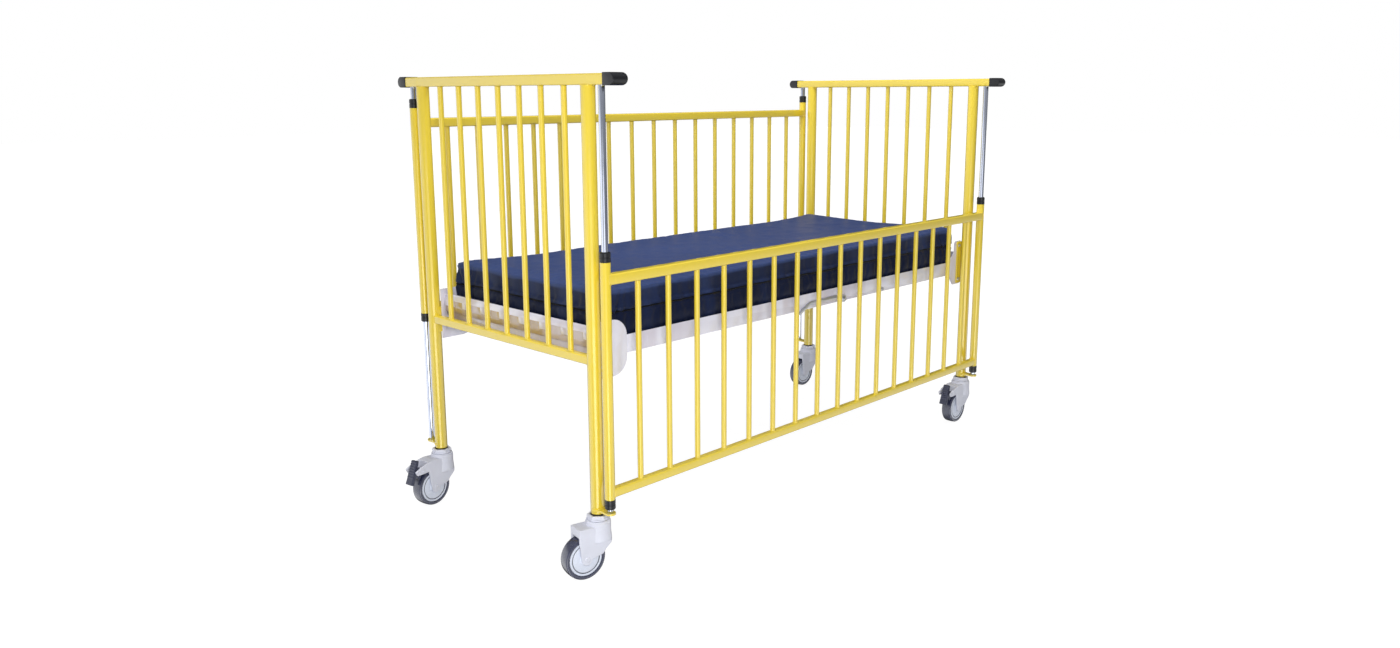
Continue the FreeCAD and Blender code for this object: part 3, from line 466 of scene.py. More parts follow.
def softened(node, name, slot, body, grid, passes, keep, extra=None, trim=None):
    """A CAD node recast as one moulding: edges run into each other in fillets.

    grid is the cast's grid, passes how often it is smoothed, keep the share of faces kept,
    extra what changes the form before the cast and trim what is added after it.
    """
    bm = merged(node)
    if extra:
        extra(bm)
    obj = to_object(name, bm)
    cast = obj.modifiers.new("cast", "REMESH")
    cast.mode = "VOXEL"
    cast.voxel_size = grid
    relax = obj.modifiers.new("relax", "SMOOTH")
    relax.factor = 0.5
    relax.iterations = passes
    thin = obj.modifiers.new("thin", "DECIMATE")
    thin.ratio = keep
    bake(obj)
    if trim:
        bm = bmesh.new()
        bm.from_mesh(obj.data)
        trim(bm)
        bm.to_mesh(obj.data)
        bm.free()
    settle(obj.data)
    return dress(obj, slot, body, [node])


def add_sweep(bm, points, radius, closed=True, sides=3):
    """A round tube along points."""
    curve = bpy.data.curves.new("sweep", "CURVE")
    curve.dimensions = "3D"
    curve.bevel_depth = radius
    curve.bevel_resolution = sides
    curve.use_fill_caps = not closed
    spline = curve.splines.new("POLY")
    spline.points.add(len(points) - 1)
    for point, place in zip(spline.points, points):
        point.co = (*place, 1)
    spline.use_cyclic_u = closed
    obj = bpy.data.objects.new("sweep", curve)
    mesh = bpy.data.meshes.new_from_object(obj)
    bm.from_mesh(mesh)
    bpy.data.meshes.remove(mesh)
    bpy.data.objects.remove(obj)
    bpy.data.curves.remove(curve)


def add_lathe(bm, profile, matrix, sides=48):
    """Turn a closed (radius, height) profile about Z; matrix sets it in place."""
    rings = []
    for i in range(sides):
        angle = 2 * math.pi * i / sides
        rings.append([bm.verts.new(matrix @ Vector((r * math.cos(angle), r * math.sin(angle), z)))
                      for r, z in profile])
    count = len(profile)
    for i in range(sides):
        this, after = rings[i], rings[(i + 1) % sides]
        for j in range(count):
            k = (j + 1) % count
            bm.faces.new((this[j], after[j], after[k], this[k]))


def arc(cx, cz, radius, start, stop, steps):
    """Points of an arc in degrees, both ends included."""
    return [(cx + radius * math.cos(math.radians(start + (stop - start) * i / steps)),
             cz + radius * math.sin(math.radians(start + (stop - start) * i / steps)))
            for i in range(steps + 1)]


def rounded_square(size, radius, steps=5):
    """Outline of a square tube, corner by corner."""
    h = size / 2 - radius
    points = []
    for cx, cy, start in ((h, h, 0), (-h, h, 90), (-h, -h, 180), (h, -h, 270)):
        points += arc(cx, cy, radius, start, start + 90, steps)
    return points


def add_rail(bm, start, stop, size, radius):
    """Square tube with rounded corners from start to stop."""
    run = stop - start
    across = Vector((0, 0, 1)).cross(run).normalized()
    up = Vector((0, 0, 1))
    ends = []
    for place in (start, stop):
        ends.append([bm.verts.new(place + across * a + up * b)
                     for a, b in rounded_square(size, radius)])
    count = len(ends[0])
    for i in range(count):
        j = (i + 1) % count
        bm.faces.new((ends[0][i], ends[0][j], ends[1][j], ends[1][i]))
    bm.faces.new(list(reversed(ends[0])))
    bm.faces.new(ends[1])


def add_coped_bead(bm, centre, radius, run, size, bead, corner):
    """Weld bead where a square tube along run meets a round post of that radius."""
    across = Vector((0, 0, 1)).cross(run).normalized()
    points = []
    for a, b in rounded_square(size, corner, 3):
        reach = math.sqrt(max(0, radius * radius - a * a))
        points.append(centre + across * a + Vector((0, 0, 1)) * b + run * reach)
    add_sweep(bm, points, bead, True, 2)


def up_to(direction):
    """Rotation that turns Z to a direction."""
    return Vector(direction).to_track_quat("Z", "Y").to_matrix().to_4x4()


# ---- bars, made as rows by geometry nodes
GROUPS = {}              # the node trees, made once by main


def bar_tree():
    """A row of round bars with a weld fillet at both ends of each."""
    group = bpy.data.node_groups.new("Bar_row", "GeometryNodeTree")
    sockets = (("Count", "Int"), ("First", "Vector"), ("Step", "Vector"), ("Radius", "Float"),
               ("Length", "Float"), ("Fillet", "Float"), ("Finish", "Material"))
    for name, kind in sockets:
        group.interface.new_socket(name, in_out="INPUT", socket_type="NodeSocket" + kind)
    group.interface.new_socket("Bars", in_out="OUTPUT", socket_type="NodeSocketGeometry")
    t = Tree(group)
    given = t.node("NodeGroupInput")
    count, first, step = given.of("Count"), given.of("First"), given.of("Step")
    radius, length, fillet = given.of("Radius"), given.of("Length"), given.of("Fillet")
    points = t.node("GeometryNodeMeshLine", {}, {"Count": count, "Start Location": first,
                                                 "Offset": step})
    bar = t.node("GeometryNodeMeshCylinder", {}, {"Vertices": ROUND_SEGMENTS, "Radius": radius,
                                                  "Depth": length})
    shift = t.node("ShaderNodeCombineXYZ", {}, {"Z": length * 0.5})
    bar = t.node("GeometryNodeTransform", {}, {"Geometry": bar, "Translation": shift})
    foot = t.node("GeometryNodeMeshCone", {}, {"Vertices": ROUND_SEGMENTS, "Radius Top": radius,
                                               "Radius Bottom": radius + fillet,
                                               "Depth": fillet})
    head = t.node("GeometryNodeTransform", {}, {
        "Geometry": foot, "Rotation": (math.pi, 0, 0),
        "Translation": t.node("ShaderNodeCombineXYZ", {}, {"Z": length})})
    whole = t.node("GeometryNodeJoinGeometry", {}, {0: [bar, foot, head]})
    row = t.node("GeometryNodeInstanceOnPoints", {}, {"Points": points, "Instance": whole})
    real = t.node("GeometryNodeRealizeInstances", {}, {"Geometry": row})
    done = t.node("GeometryNodeSetMaterial", {}, {"Geometry": real,
                                                  "Material": given.of("Finish")})
    t.node("NodeGroupOutput", {}, {"Bars": done})
    return group


def grow(name, group, values):
    """A new object made by a geometry node tree with these named inputs."""
    obj = link(name, bpy.data.meshes.new(name))
    maker = obj.modifiers.new("make", "NODES")
    maker.node_group = group
    for item in group.interface.items_tree:
        if item.in_out == "INPUT" and item.name in values:
            maker[item.identifier] = values[item.name]
    bake(obj)
    settle(obj.data)
    return obj


def bar_row(name, node, body, count, axis):
    """The bars of one node, spread along axis between its box's ends."""
    low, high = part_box(node)
    radius = (high - low)[1 - axis] / 2
    first = Vector((low.x + radius, low.y + radius, low.z))
    step = Vector((0, 0, 0))
    step[axis] = ((high - low)[axis] - 2 * radius) / (count - 1)
    obj = grow(name, GROUPS["bars"], {
        "Count": count, "First": first, "Step": step, "Radius": radius,
        "Length": high.z - low.z, "Fillet": bpy.context.scene.cot_sizes.weld,
        "Finish": finish("yellow_paint")})
    return dress(obj, "yellow_paint", body, [node])


# ---- end frames
def dress_end_frames():
    sizes = bpy.context.scene.cot_sizes
    for end in ("foot", "head"):
        x = POST_X[end]
        refined(end + "_frame_posts", end + "_posts", "yellow_paint", "frame")
        bar_row(end + "_bars", end + "_frame_bars", "frame", END_BARS, 1)
        low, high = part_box(end + "_frame_rails")
        size = high.x - low.x
        bm = bmesh.new()
        top = high.z - size / 2
        add_rail(bm, Vector((x, low.y, top)), Vector((x, high.y, top)), size, sizes.rail_round)
        low_size = size * LOW_RAIL_SHARE
        z = low.z + low_size / 2
        add_rail(bm, Vector((x, -POST_Y, z)), Vector((x, POST_Y, z)), low_size,
                 sizes.rail_round)
        for side in (-1, 1):
            add_coped_bead(bm, Vector((x, side * POST_Y, z)), POST_R, Vector((0, -side, 0)),
                           low_size, sizes.weld, sizes.rail_round)
            ring = [Vector((x + POST_R * math.cos(a), side * POST_Y + POST_R * math.sin(a),
                            high.z - size)) for a in (math.tau * i / 32 for i in range(32))]
            half = size / 2
            ring = [Vector((max(x - half, min(x + half, p.x)), p.y, p.z)) for p in ring]
            add_sweep(bm, ring, sizes.weld, True, 2)
        piece(end + "_rails", bm, "yellow_paint", "frame", [end + "_frame_rails"])
    refined("guide_rods", "rods", "chrome", "frame")
    refined("corner_buffers", "buffers", "black_plastic", "frame", 2.2 * MM, 3)
    dress_brackets()


def dress_brackets():
    """Waisted tongues that carry the rods, with beads along the post and under the rod."""
    low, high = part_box("rod_brackets")
    tip_r = high.y - ROD_Y
    reach = ROD_Y - POST_Y
    root = POST_R * 1.12
    waist = tip_r * 0.86
    bm = bmesh.new()
    for end in ("foot", "head"):
        for side in (-1, 1):
            place = Vector((POST_X[end], side * POST_Y, low.z))
            outline = arc(0, reach, tip_r, -20, 200, 16)
            outline += [(-waist, reach * 0.6), (-waist, reach * 0.45), (-root, 2 * MM)]
            outline += arc(0, 0, POST_R, 175, 5, 18)
            outline += [(root, 2 * MM), (waist, reach * 0.45), (waist, reach * 0.6)]
            floor = [bm.verts.new(place + Vector((a, side * b, 0))) for a, b in outline]
            face = bm.faces.new(floor)
            raised = bmesh.ops.extrude_face_region(bm, geom=[face])
            verts = [v for v in raised["geom"] if isinstance(v, bmesh.types.BMVert)]
            bmesh.ops.translate(bm, verts=verts, vec=(0, 0, high.z - low.z))
            for top in (low.z, high.z):
                bead = [Vector((place.x + a, place.y + side * b, top))
                        for a, b in arc(0, 0, POST_R, 172, 8, 18)]
                add_sweep(bm, bead, 1.3 * MM, False, 2)
            ring = [Vector((place.x + a, place.y + side * b, low.z))
                    for a, b in arc(0, reach, ROD_R, 0, 360, 32)[:-1]]
            add_sweep(bm, ring, 1.1 * MM, True, 2)
    piece("brackets", bm, "yellow_paint", "frame", ["rod_brackets"])


# ---- drop sides
def dress_drop_sides():
    sizes = bpy.context.scene.cot_sizes
    for name, side in SIDES.items():
        body = name + "_side"
        node = body + "_"
        refined(node + "sleeves", body + "_tubes", "yellow_paint", body)
        bar_row(node + "rods", node + "bars", body, SIDE_BARS, 0)
        low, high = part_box(node + "rails")
        y = side * ROD_Y
        size = high.y - low.y
        low_size = size * LOW_RAIL_SHARE
        bm = bmesh.new()
        for z, width in ((high.z - size / 2, size), (low.z + low_size / 2, low_size)):
            add_rail(bm, Vector((POST_X["foot"], y, z)), Vector((POST_X["head"], y, z)), width,
                     sizes.rail_round)
            for end, run in (("foot", 1), ("head", -1)):
                add_coped_bead(bm, Vector((POST_X[end], y, z)), size / 2, Vector((run, 0, 0)),
                               width, sizes.weld, sizes.rail_round)
        piece(body + "_square_tubes", bm, "yellow_paint", body, [node + "rails"])
        dress_bushes(name, side)


def dress_bushes(name, side):
    """Turned bushes with a chamfered nose and a shallow groove."""
    node = name + "_side_bushes"
    low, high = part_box(node)
    sleeve_low, sleeve_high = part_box(name + "_side_sleeves")
    radius = (high.y - low.y) / 2
    tall = high.z - sleeve_high.z
    bore = ROD_R + 0.05 * MM
    inside = radius - 3 * MM
    groove = 0.8 * MM
    profile = [(bore, -tall / 2), (inside, -tall / 2), (inside, 0), (radius - 0.6 * MM, 0),
               (radius, 0.6 * MM), (radius, tall * 0.40), (radius - groove, tall * 0.43),
               (radius - groove, tall * 0.49), (radius, tall * 0.52), (radius, tall - 3 * MM)]
    profile += [(radius - 1.2 * MM, tall - 1.1 * MM), (radius - 3.2 * MM, tall), (bore, tall)]
    bm = bmesh.new()
    for x in POST_X.values():
        for z, turn in ((sleeve_high.z, 0), (sleeve_low.z, math.pi)):
            place = Matrix.Translation((x, side * ROD_Y, z)) @ Matrix.Rotation(turn, 4, "X")
            add_lathe(bm, profile, place, 40)
    piece(name + "_side_guides", bm, "black_plastic", name + "_side", [node])


# ---- deck, plates, bolts and backrest
def dress_end_channels():
    """End members whose strip leans in over the teeth, with painted shade and yellow bounce on
    their recessed faces.
    """
    low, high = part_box("deck_end_members")
    lean, fold, recess_shade = 7 * MM, high.z - 17 * MM, high.z - 38 * MM
    bm = merged("deck_end_members")
    bmesh.ops.bisect_plane(bm, geom=bm.verts[:] + bm.edges[:] + bm.faces[:],
                           plane_co=(0, 0, fold), plane_no=(0, 0, 1))
    for v in bm.verts:
        if v.co.z > fold + 1 * MM:
            v.co.x -= math.copysign(lean, v.co.x)
    obj = to_object("end_channels", bm)
    round_edges(obj, 0.7 * MM)

    # Faces below the recess line, and inner upright faces under the fold, take the painted shade
    # colour.
    def painted_shade_faces(face):
        depth = min(face.center.x - low.x, high.x - face.center.x)
        return face.center.z < recess_shade or (abs(face.normal.x) > 0.5 and depth > 2.2 * MM
                                          and face.center.z < fold)
    tint(obj.data, painted_shade_faces)
    dress(obj, "white_paint", "frame", ["deck_end_members"])


def dress_deck():
    dress_end_channels()
    for node, name, width in (("deck_side_members", "side_channels", 2.0 * MM),
                              ("deck_cross_members", "cross_tubes", 0.8 * MM),
                              ("foot_panel", "foot_sheet", 0.4 * MM),
                              ("corner_plates", "hanging_plates", 1.2 * MM),
                              ("stay_racks", "racks", 0.5 * MM)):
        refined(node, name, "white_paint", "frame", width)
    refined("post_lugs", "lugs", "yellow_paint", "frame", 1.0 * MM)
    refined("backrest_pin", "hinge_rod", "steel", "frame")
    dress_bolts("deck_bolts", "plate_bolts")
    dress_bolts("member_bolts", "channel_bolts")


def islands(node):
    """Lowest and highest corner of each solid of a node."""
    bm = bmesh.new()
    bm.from_mesh(frame["nodes"][node].data)
    bmesh.ops.remove_doubles(bm, verts=bm.verts, dist=0.005 * MM)
    left = set(bm.verts)
    boxes = []
    while left:
        stack = [left.pop()]
        found = []
        while stack:
            v = stack.pop()
            found.append(v.co.copy())
            for edge in v.link_edges:
                other = edge.other_vert(v)
                if other in left:
                    left.remove(other)
                    stack.append(other)
        boxes.append(box_of(found))
    bm.free()
    return sorted(boxes, key=lambda b: tuple(round(c, 4) for c in b[0]))


def dress_bolts(node, name):
    """Domed hexagon heads on washers, with their shanks."""
    bm = bmesh.new()
    head_r = 7.0 * MM
    for low, high in islands(node):
        side = 1 if low.y > 0 else -1
        face = high.y if side > 0 else low.y
        base = face - side * 5.0 * MM
        tip = low.y if side > 0 else high.y
        x, z = (low.x + high.x) / 2, (low.z + high.z) / 2
        place = Matrix.Translation((x, base, z)) @ up_to((0, side, 0))
        washer = [(3.9 * MM, 0), (head_r, 0), (head_r, 0.9 * MM), (head_r - 0.3 * MM, 1.2 * MM),
                  (3.9 * MM, 1.2 * MM)]
        add_lathe(bm, washer, place, 36)
        head = [(0.01 * MM, 1.2 * MM), (5.6 * MM, 1.2 * MM), (6.1 * MM, 1.6 * MM),
                (6.1 * MM, 4.2 * MM), (5.2 * MM, 4.8 * MM), (0.01 * MM, 5.0 * MM)]
        add_lathe(bm, head, place, 6)
        shank = [(0.01 * MM, 1.2 * MM), (3.9 * MM, 1.2 * MM), (3.9 * MM, -abs(base - tip)),
                 (0.01 * MM, -abs(base - tip))]
        add_lathe(bm, shank, place, 24)
    bmesh.ops.remove_doubles(bm, verts=bm.verts, dist=0.02 * MM)
    piece(name, bm, "steel", "frame", [node])


def dress_backrest():
    refined("backrest_panel", "back_sheet", "white_paint", "backrest", 0.4 * MM)
    refined("backrest_knuckles", "hinge_tubes", "white_paint", "backrest")
    refined("backrest_ribs", "back_ribs", "white_paint", "backrest")
    refined("stay_pins", "stay_pivots", "steel", "backrest")
    refined("stay_arms", "stay_straps", "white_paint", "stay")
    refined("stay_foot_rod", "stay_bar", "steel", "stay")
    refined("release_lever", "release_handle", "white_paint", "lever", 1.2 * MM, 3,
            paint="steel")


# ---- mattress
CLOTH_FRAMES = 20
PROUD = Vector((9, 9, 6)) * MM       # how far the cover may stand past its own space
PLEAT_WIDTH = 7.5 * MM
CORNER_PLEATS = ((30 * MM, -0.36, 6.0),          # distance from the corner, lean, depth in mm
                 (52 * MM, 0.34, 5.0),
                 (82 * MM, 0.12, 2.6))


def mattress_shell(low, high, soft, shrink):
    """Rounded box of the mattress, a little smaller than the space it swells into."""
    bm = bmesh.new()
    bmesh.ops.create_cube(bm, size=1)
    inner_low = low + Vector((shrink, shrink, 0))
    inner_high = high - Vector((shrink, shrink, shrink))
    size = inner_high - inner_low
    centre = (inner_low + inner_high) / 2
    for v in bm.verts:
        v.co = Vector([centre[i] + v.co[i] * size[i] for i in range(3)])
    upright = [e for e in bm.edges if abs((e.verts[0].co - e.verts[1].co).z) > 0.01]
    bmesh.ops.bevel(bm, geom=upright, offset=soft, segments=6, profile=0.5,
                    affect="EDGES")
    flat = [e for e in bm.edges if abs((e.verts[0].co - e.verts[1].co).z) < 1e-6
            and len(e.link_faces) == 2
            and abs(e.link_faces[0].normal.z - e.link_faces[1].normal.z) > 0.5]
    top = [e for e in flat if e.verts[0].co.z > centre.z]
    bottom = [e for e in flat if e.verts[0].co.z < centre.z]
    bmesh.ops.bevel(bm, geom=top, offset=soft, segments=5, profile=0.5, affect="EDGES")
    bmesh.ops.bevel(bm, geom=[e for e in bottom if e.is_valid], offset=soft * 0.7, segments=4,
                    profile=0.5, affect="EDGES")
    return bm


def simulate(obj, pressure, cap, pinned):
    """Swell a cover by its filling, hold the pinned points, and cap the motion."""
    before = [v.co.copy() for v in obj.data.vertices]
    held = obj.vertex_groups.new(name="held")
    for v in obj.data.vertices:
        weight = pinned(v.co)
        if weight > 0:
            held.add([v.index], weight, "REPLACE")
    cloth = obj.modifiers.new("cloth", "CLOTH")
    s = cloth.settings
    s.quality = 4
    s.mass = 0.25
    s.tension_stiffness = 12
    s.compression_stiffness = 6
    s.shear_stiffness = 4
    s.bending_stiffness = 0.25
    s.use_pressure = True
    s.uniform_pressure_force = pressure
    s.shrink_min = -0.025
    s.effector_weights.gravity = 0
    s.vertex_group_mass = "held"
    s.pin_stiffness = 0.8
    cloth.collision_settings.use_collision = False
    cloth.point_cache.frame_start = 1
    cloth.point_cache.frame_end = CLOTH_FRAMES
    for step in range(1, CLOTH_FRAMES + 1):
        bpy.context.scene.frame_set(step)
    bake(obj)
    bpy.context.scene.frame_set(1)
    for v, start in zip(obj.data.vertices, before):
        move = v.co - start
        if move.length > cap:
            v.co = start + move * (cap / move.length)


def crease(value, width):
    """Narrow valley of depth 1 at 0 with soft shoulders."""
    t = value / width
    return -math.exp(-t * t) + 0.45 * math.exp(-((abs(t) - 1.9) ** 2))


def seam_at(co, seam):
    """Height of the slightly wavy seam at a place."""
    return seam + (noise.noise(Vector((co.x * 7, co.y * 7, 3))) * 2.4
                   + noise.noise(Vector((co.x * 19, co.y * 19, 8))) * 1.2) * MM


def wrinkle(co, normal, low, high, seam, random_folds):
    """How far a point of the cover moves outward: seam, pleats, folds and crown."""
    upright = 1 - min(1, abs(normal.z) * 1.4)
    above = (co.z - low.z) / (high.z - low.z)
    out = 3.4 * MM * crease(co.z - seam_at(co, seam), 5.0 * MM) * upright
    for x, y, inward, sign in ((low.x, low.y, 1, -1), (low.x, high.y, 1, 1),
                               (high.x, low.y, -1, -1), (high.x, high.y, -1, 1)):
        along = (co.x - x) * inward
        across = (y - co.y) * sign
        if along > 0.16 or across > 0.16:
            continue
        run = along if abs(normal.y) > abs(normal.x) else across
        rise = co.z - seam
        for start, lean, depth in CORNER_PLEATS:
            line = start + lean * rise
            fade = math.exp(-((rise - 12 * MM) / (48 * MM)) ** 2)
            out += depth * MM * crease(run - line, PLEAT_WIDTH) * upright * fade
    for fold in random_folds:
        face, at, lean, width, depth, reach = fold
        if face == "end" and abs(normal.x) < 0.6:
            continue
        if face == "side" and abs(normal.y) < 0.6:
            continue
        if face == "top" and normal.z < 0.6:
            continue
        if face == "top":
            edge = min(co.y - low.y, high.y - co.y)
            fade = math.exp(-(edge / reach) ** 2)
            line = co.x - at - lean * edge
        else:
            run = co.y if face == "end" else co.x
            line = run - at - lean * (co.z - seam)
            fade = math.exp(-(((above - 0.5) * 2) ** 2) / reach)
        if abs(line) < 6 * width:
            out += depth * crease(line, width) * fade
    return out


def folds_of(low, high):
    """Folds drawn by chance, the same ones each time."""
    chance = random.Random(7)
    folds = []
    for face, count, start, stop in (("end", 20, low.y, high.y), ("side", 44, low.x, high.x)):
        for _ in range(count):
            folds.append((face, chance.uniform(start, stop), chance.gauss(0, 0.12),
                          chance.uniform(7, 15) * MM, chance.uniform(0.7, 1.9) * MM,
                          chance.uniform(0.5, 1.6)))
    for _ in range(34):
        folds.append(("top", chance.uniform(low.x, high.x), chance.uniform(-0.9, 0.9),
                      chance.uniform(5, 12) * MM, chance.uniform(0.5, 1.5) * MM,
                      chance.uniform(40, 110) * MM))
    return folds


def dress_mattress():
    sizes = bpy.context.scene.cot_sizes
    low, high = MATTRESS_LOW.copy(), MATTRESS_HIGH.copy()
    seam = low.z + sizes.seam_height
    obj = to_object("mattress", mattress_shell(low, high, sizes.edge_soft, sizes.swell * 0.7))
    remesh = obj.modifiers.new("grid", "REMESH")
    remesh.mode = "VOXEL"
    remesh.voxel_size = sizes.voxel * 1
    bake(obj)

    def pinned(co):
        if co.z < low.z + 10 * MM:
            return 1.0
        return 0.9 if abs(co.z - seam) < 6 * MM else 0.0
    simulate(obj, sizes.pressure, sizes.swell, pinned)
    finer = obj.modifiers.new("finer", "SUBSURF")
    finer.levels = 1
    finer.render_levels = 1
    bake(obj)
    shape_cover(obj, low, high, seam)
    obj.data.polygons.foreach_set("use_smooth", [True] * len(obj.data.polygons))
    dress(obj, "mattress_cover", None, ["mattress_foot", "mattress_bend", "mattress_head"])
    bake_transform(obj)
    dress_piping(obj, low, high, seam)


def fill_space(mesh, low, high):
    """Stretch a mesh so that it bulges just past its space, whose foot it keeps."""
    proud = 5 * MM
    low = low - Vector((proud, proud, 0))
    high = high + Vector((proud, proud, 2 * MM))
    start, stop = box_of([v.co for v in mesh.vertices])
    for v in mesh.vertices:
        v.co = Vector([low[i] + (v.co[i] - start[i]) * (high[i] - low[i]) / (stop[i] - start[i])
                       for i in range(3)])


def square_up(mesh):
    """Draw the rounded top edges and upright corners of a cover out towards its box."""
    reach = 18 * MM
    low, high = box_of([v.co for v in mesh.vertices])
    for v in mesh.vertices:
        gap = [min(v.co[i] - low[i], high[i] - v.co[i]) for i in (0, 1)] + [high[2] - v.co.z]
        near = [math.exp(-(g / reach) ** 2) for g in gap]
        for i in range(3):
            others = [near[j] * (0.85 if 2 in (i, j) else 0.6) for j in range(3) if j != i]
            draw = gap[i] * near[i] * max(others)
            v.co[i] += draw if high[i] - v.co[i] < v.co[i] - low[i] else -draw


def shape_cover(obj, low, high, seam):
    """Crown, seam, pleats, folds and painted side shade of the cover, kept close to its own space.
    """
    mesh = obj.data
    fill_space(mesh, low, high)
    square_up(mesh)
    folds = folds_of(low, high)
    second = mesh.attributes.new("second", "FLOAT", "POINT")
    # Painted shade on the upright sides below the top edge, lightened in painted highlight stripes
    # above the seam and darkest below it.
    painted_side_shade = []
    for v in mesh.vertices:
        highlight_stripe = max(0, noise.noise(Vector((v.co.x * 16, v.co.y * 16, v.co.z * 2))))
        side = 0.86 - 0.6 * highlight_stripe if v.co.z > seam else 1.0 - 0.3 * highlight_stripe
        drop = (17 + 5 * noise.noise(Vector((v.co.x * 9, v.co.y * 9, 3)))) * MM
        below = min(1, max(0, (high.z - drop - v.co.z) / (5 * MM)))
        painted_side_shade.append(min(1, max(0, (0.8 - v.normal.z) / 0.3)) * side * below)
    second.data.foreach_set("value", painted_side_shade)
    moves = []
    corners = [Vector((x, y)) for x in (low.x, high.x) for y in (low.y, high.y)]
    for v in mesh.vertices:
        n = v.normal
        out = wrinkle(v.co, n, low, high, seam, folds)
        cloud = noise.noise(v.co * 6) * 0.9 + noise.noise(v.co * 17) * 0.5
        if v.co.z > low.z + 20 * MM:
            out += cloud * 1.3 * MM
        near = min((v.co.xy - c).length for c in corners)
        out += 7 * MM * math.exp(-(near / (30 * MM)) ** 2) * (1 - abs(n.z))
        moves.append(n * out)
    for v, move in zip(mesh.vertices, moves):
        co = v.co + move
        co.z = max(co.z, low.z + 0.2 * MM)
        v.co = Vector([max(low[i] - PROUD[i], min(high[i] + PROUD[i], co[i]))
                       for i in range(3)])
    mesh.update()


def dress_piping(cover, low, high, seam):
    """Piping laid in the seam's groove, on the cover's own surface."""
    corner = bpy.context.scene.cot_sizes.edge_soft
    path = []
    runs = ((high.x - corner, high.y - corner, 0), (low.x + corner, high.y - corner, 90),
            (low.x + corner, low.y + corner, 180), (high.x - corner, low.y + corner, 270))
    for cx, cy, turn in runs:
        path += [Vector((x, y, seam)) for x, y in arc(cx, cy, corner, turn, turn + 90, 9)]
    dense = []
    for i, a in enumerate(path):
        b = path[(i + 1) % len(path)]
        steps = max(1, int((b - a).length / (12 * MM)))
        dense += [a.lerp(b, k / steps) for k in range(steps)]
    for p in dense:
        p.z = seam_at(p, seam)
    centre = (low + high) / 2
    points = []
    for p in dense:
        inward = Vector((centre.x - p.x if abs(p.x - centre.x) > (high.x - centre.x) - corner
                         else 0, centre.y - p.y if abs(p.y - centre.y) > (high.y - centre.y)
                         - corner else 0, 0)).normalized()
        hit, place, normal, index = cover.ray_cast(p - inward * 0.05, inward, distance=0.2)
        points.append(place if hit else p)
    bm = bmesh.new()
    add_sweep(bm, points, bpy.context.scene.cot_sizes.piping, True, 2)
    obj = piece("mattress_piping", bm, "mattress_cover", None, paint="piping")
    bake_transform(obj)


# ---- casters
def caster_frame(corner):
    """Matrix from a caster's own frame, trail along X, to its place."""
    axis = Vector(joint_named(corner + "_roll")["axis"])
    end, side = CORNERS[corner]
    trail = Vector((axis.y, -axis.x, 0))
    return (Matrix.Translation((POST_X[end], side * POST_Y, 0))
            @ Matrix.Rotation(math.atan2(trail.y, trail.x), 4, "Z"))


def wheel_frame(corner):
    """Matrix with Z along the axle at the wheel's centre."""
    joint = joint_named(corner + "_roll")
    return Matrix.Translation(joint["pos_m"]) @ up_to(joint["axis"])


WHEEL_R = joint_named("near_left_roll")["pos_m"][2]
HUB_R = (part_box("far_right_hub")[1].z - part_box("far_right_hub")[0].z) / 2
TREAD_HALF = (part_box("far_right_tyre")[1].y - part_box("far_right_tyre")[0].y) / 2
HUB_HALF = (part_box("far_right_hub")[1].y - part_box("far_right_hub")[0].y) / 2
HUB_RING = HUB_R - 7 * MM            # inner radius of the hub's rim ring
GROOVE = 2.0 * MM                    # width of the dark groove inside that ring
CHEEK = 27 * MM                      # caster's middle to the outside of a fork cheek


def tyre_profile():
    """Crowned tread with rounded shoulders and a lip on the hub."""
    shoulder = 5 * MM
    crown = [(WHEEL_R - 0.8 * MM * t * t, t * (TREAD_HALF - shoulder))
             for t in (i / 6 - 1 for i in range(13))]
    upper = arc(crown[-1][0] - shoulder, TREAD_HALF - shoulder, shoulder, 0, 85, 7)
    lower = [(a, -b) for a, b in reversed(upper)]
    lip = HUB_R + 1.2 * MM
    return (lower + crown[1:-1] + upper
            + [(lip, TREAD_HALF - 0.9 * MM), (HUB_R, TREAD_HALF - 3 * MM),
               (HUB_R, 3 * MM - TREAD_HALF), (lip, 0.9 * MM - TREAD_HALF)])


def hub_profile():
    """Wheel centre with a proud rim ring, a groove, a flat disc and a boss."""
    rim = TREAD_HALF - 1.2 * MM
    disc = rim - 0.9 * MM
    half = [(HUB_R, rim - 2.6 * MM), (HUB_R - 0.8 * MM, rim - 0.6 * MM),
            (HUB_R - 2.4 * MM, rim), (HUB_RING + 1.6 * MM, rim),
            (HUB_RING + 0.5 * MM, rim - 0.6 * MM),
            (HUB_RING, rim - 3.4 * MM), (HUB_RING - GROOVE, rim - 3.4 * MM),
            (HUB_RING - GROOVE - 0.6 * MM, disc - 0.5 * MM), (HUB_RING - GROOVE - 1.8 * MM, disc),
            (18 * MM, disc - 0.8 * MM),
            (16 * MM, disc + 0.4 * MM), (13.6 * MM, HUB_HALF - 0.7 * MM),
            (12 * MM, HUB_HALF - 0.2 * MM), (5.2 * MM, HUB_HALF - 0.2 * MM)]
    return half + [(r, -z) for r, z in reversed(half)]


def dress_wheels(corner):
    place = wheel_frame(corner)
    bm = bmesh.new()
    add_lathe(bm, tyre_profile(), place, 96)
    piece(corner + "_tread", bm, "tyre", corner + "_wheel", [corner + "_tyre"])
    bm = bmesh.new()
    add_lathe(bm, hub_profile(), place, 72)
    centre = piece(corner + "_centre", bm, "hub_grey", corner + "_wheel", [corner + "_hub"])
    inverse = place.inverted()
    # The faces in the hub's groove are darkened as painted shade.
    tint(centre.data, lambda face: HUB_RING - GROOVE - 0.7 * MM
         < (inverse @ face.center).xy.length < HUB_RING + 0.6 * MM)


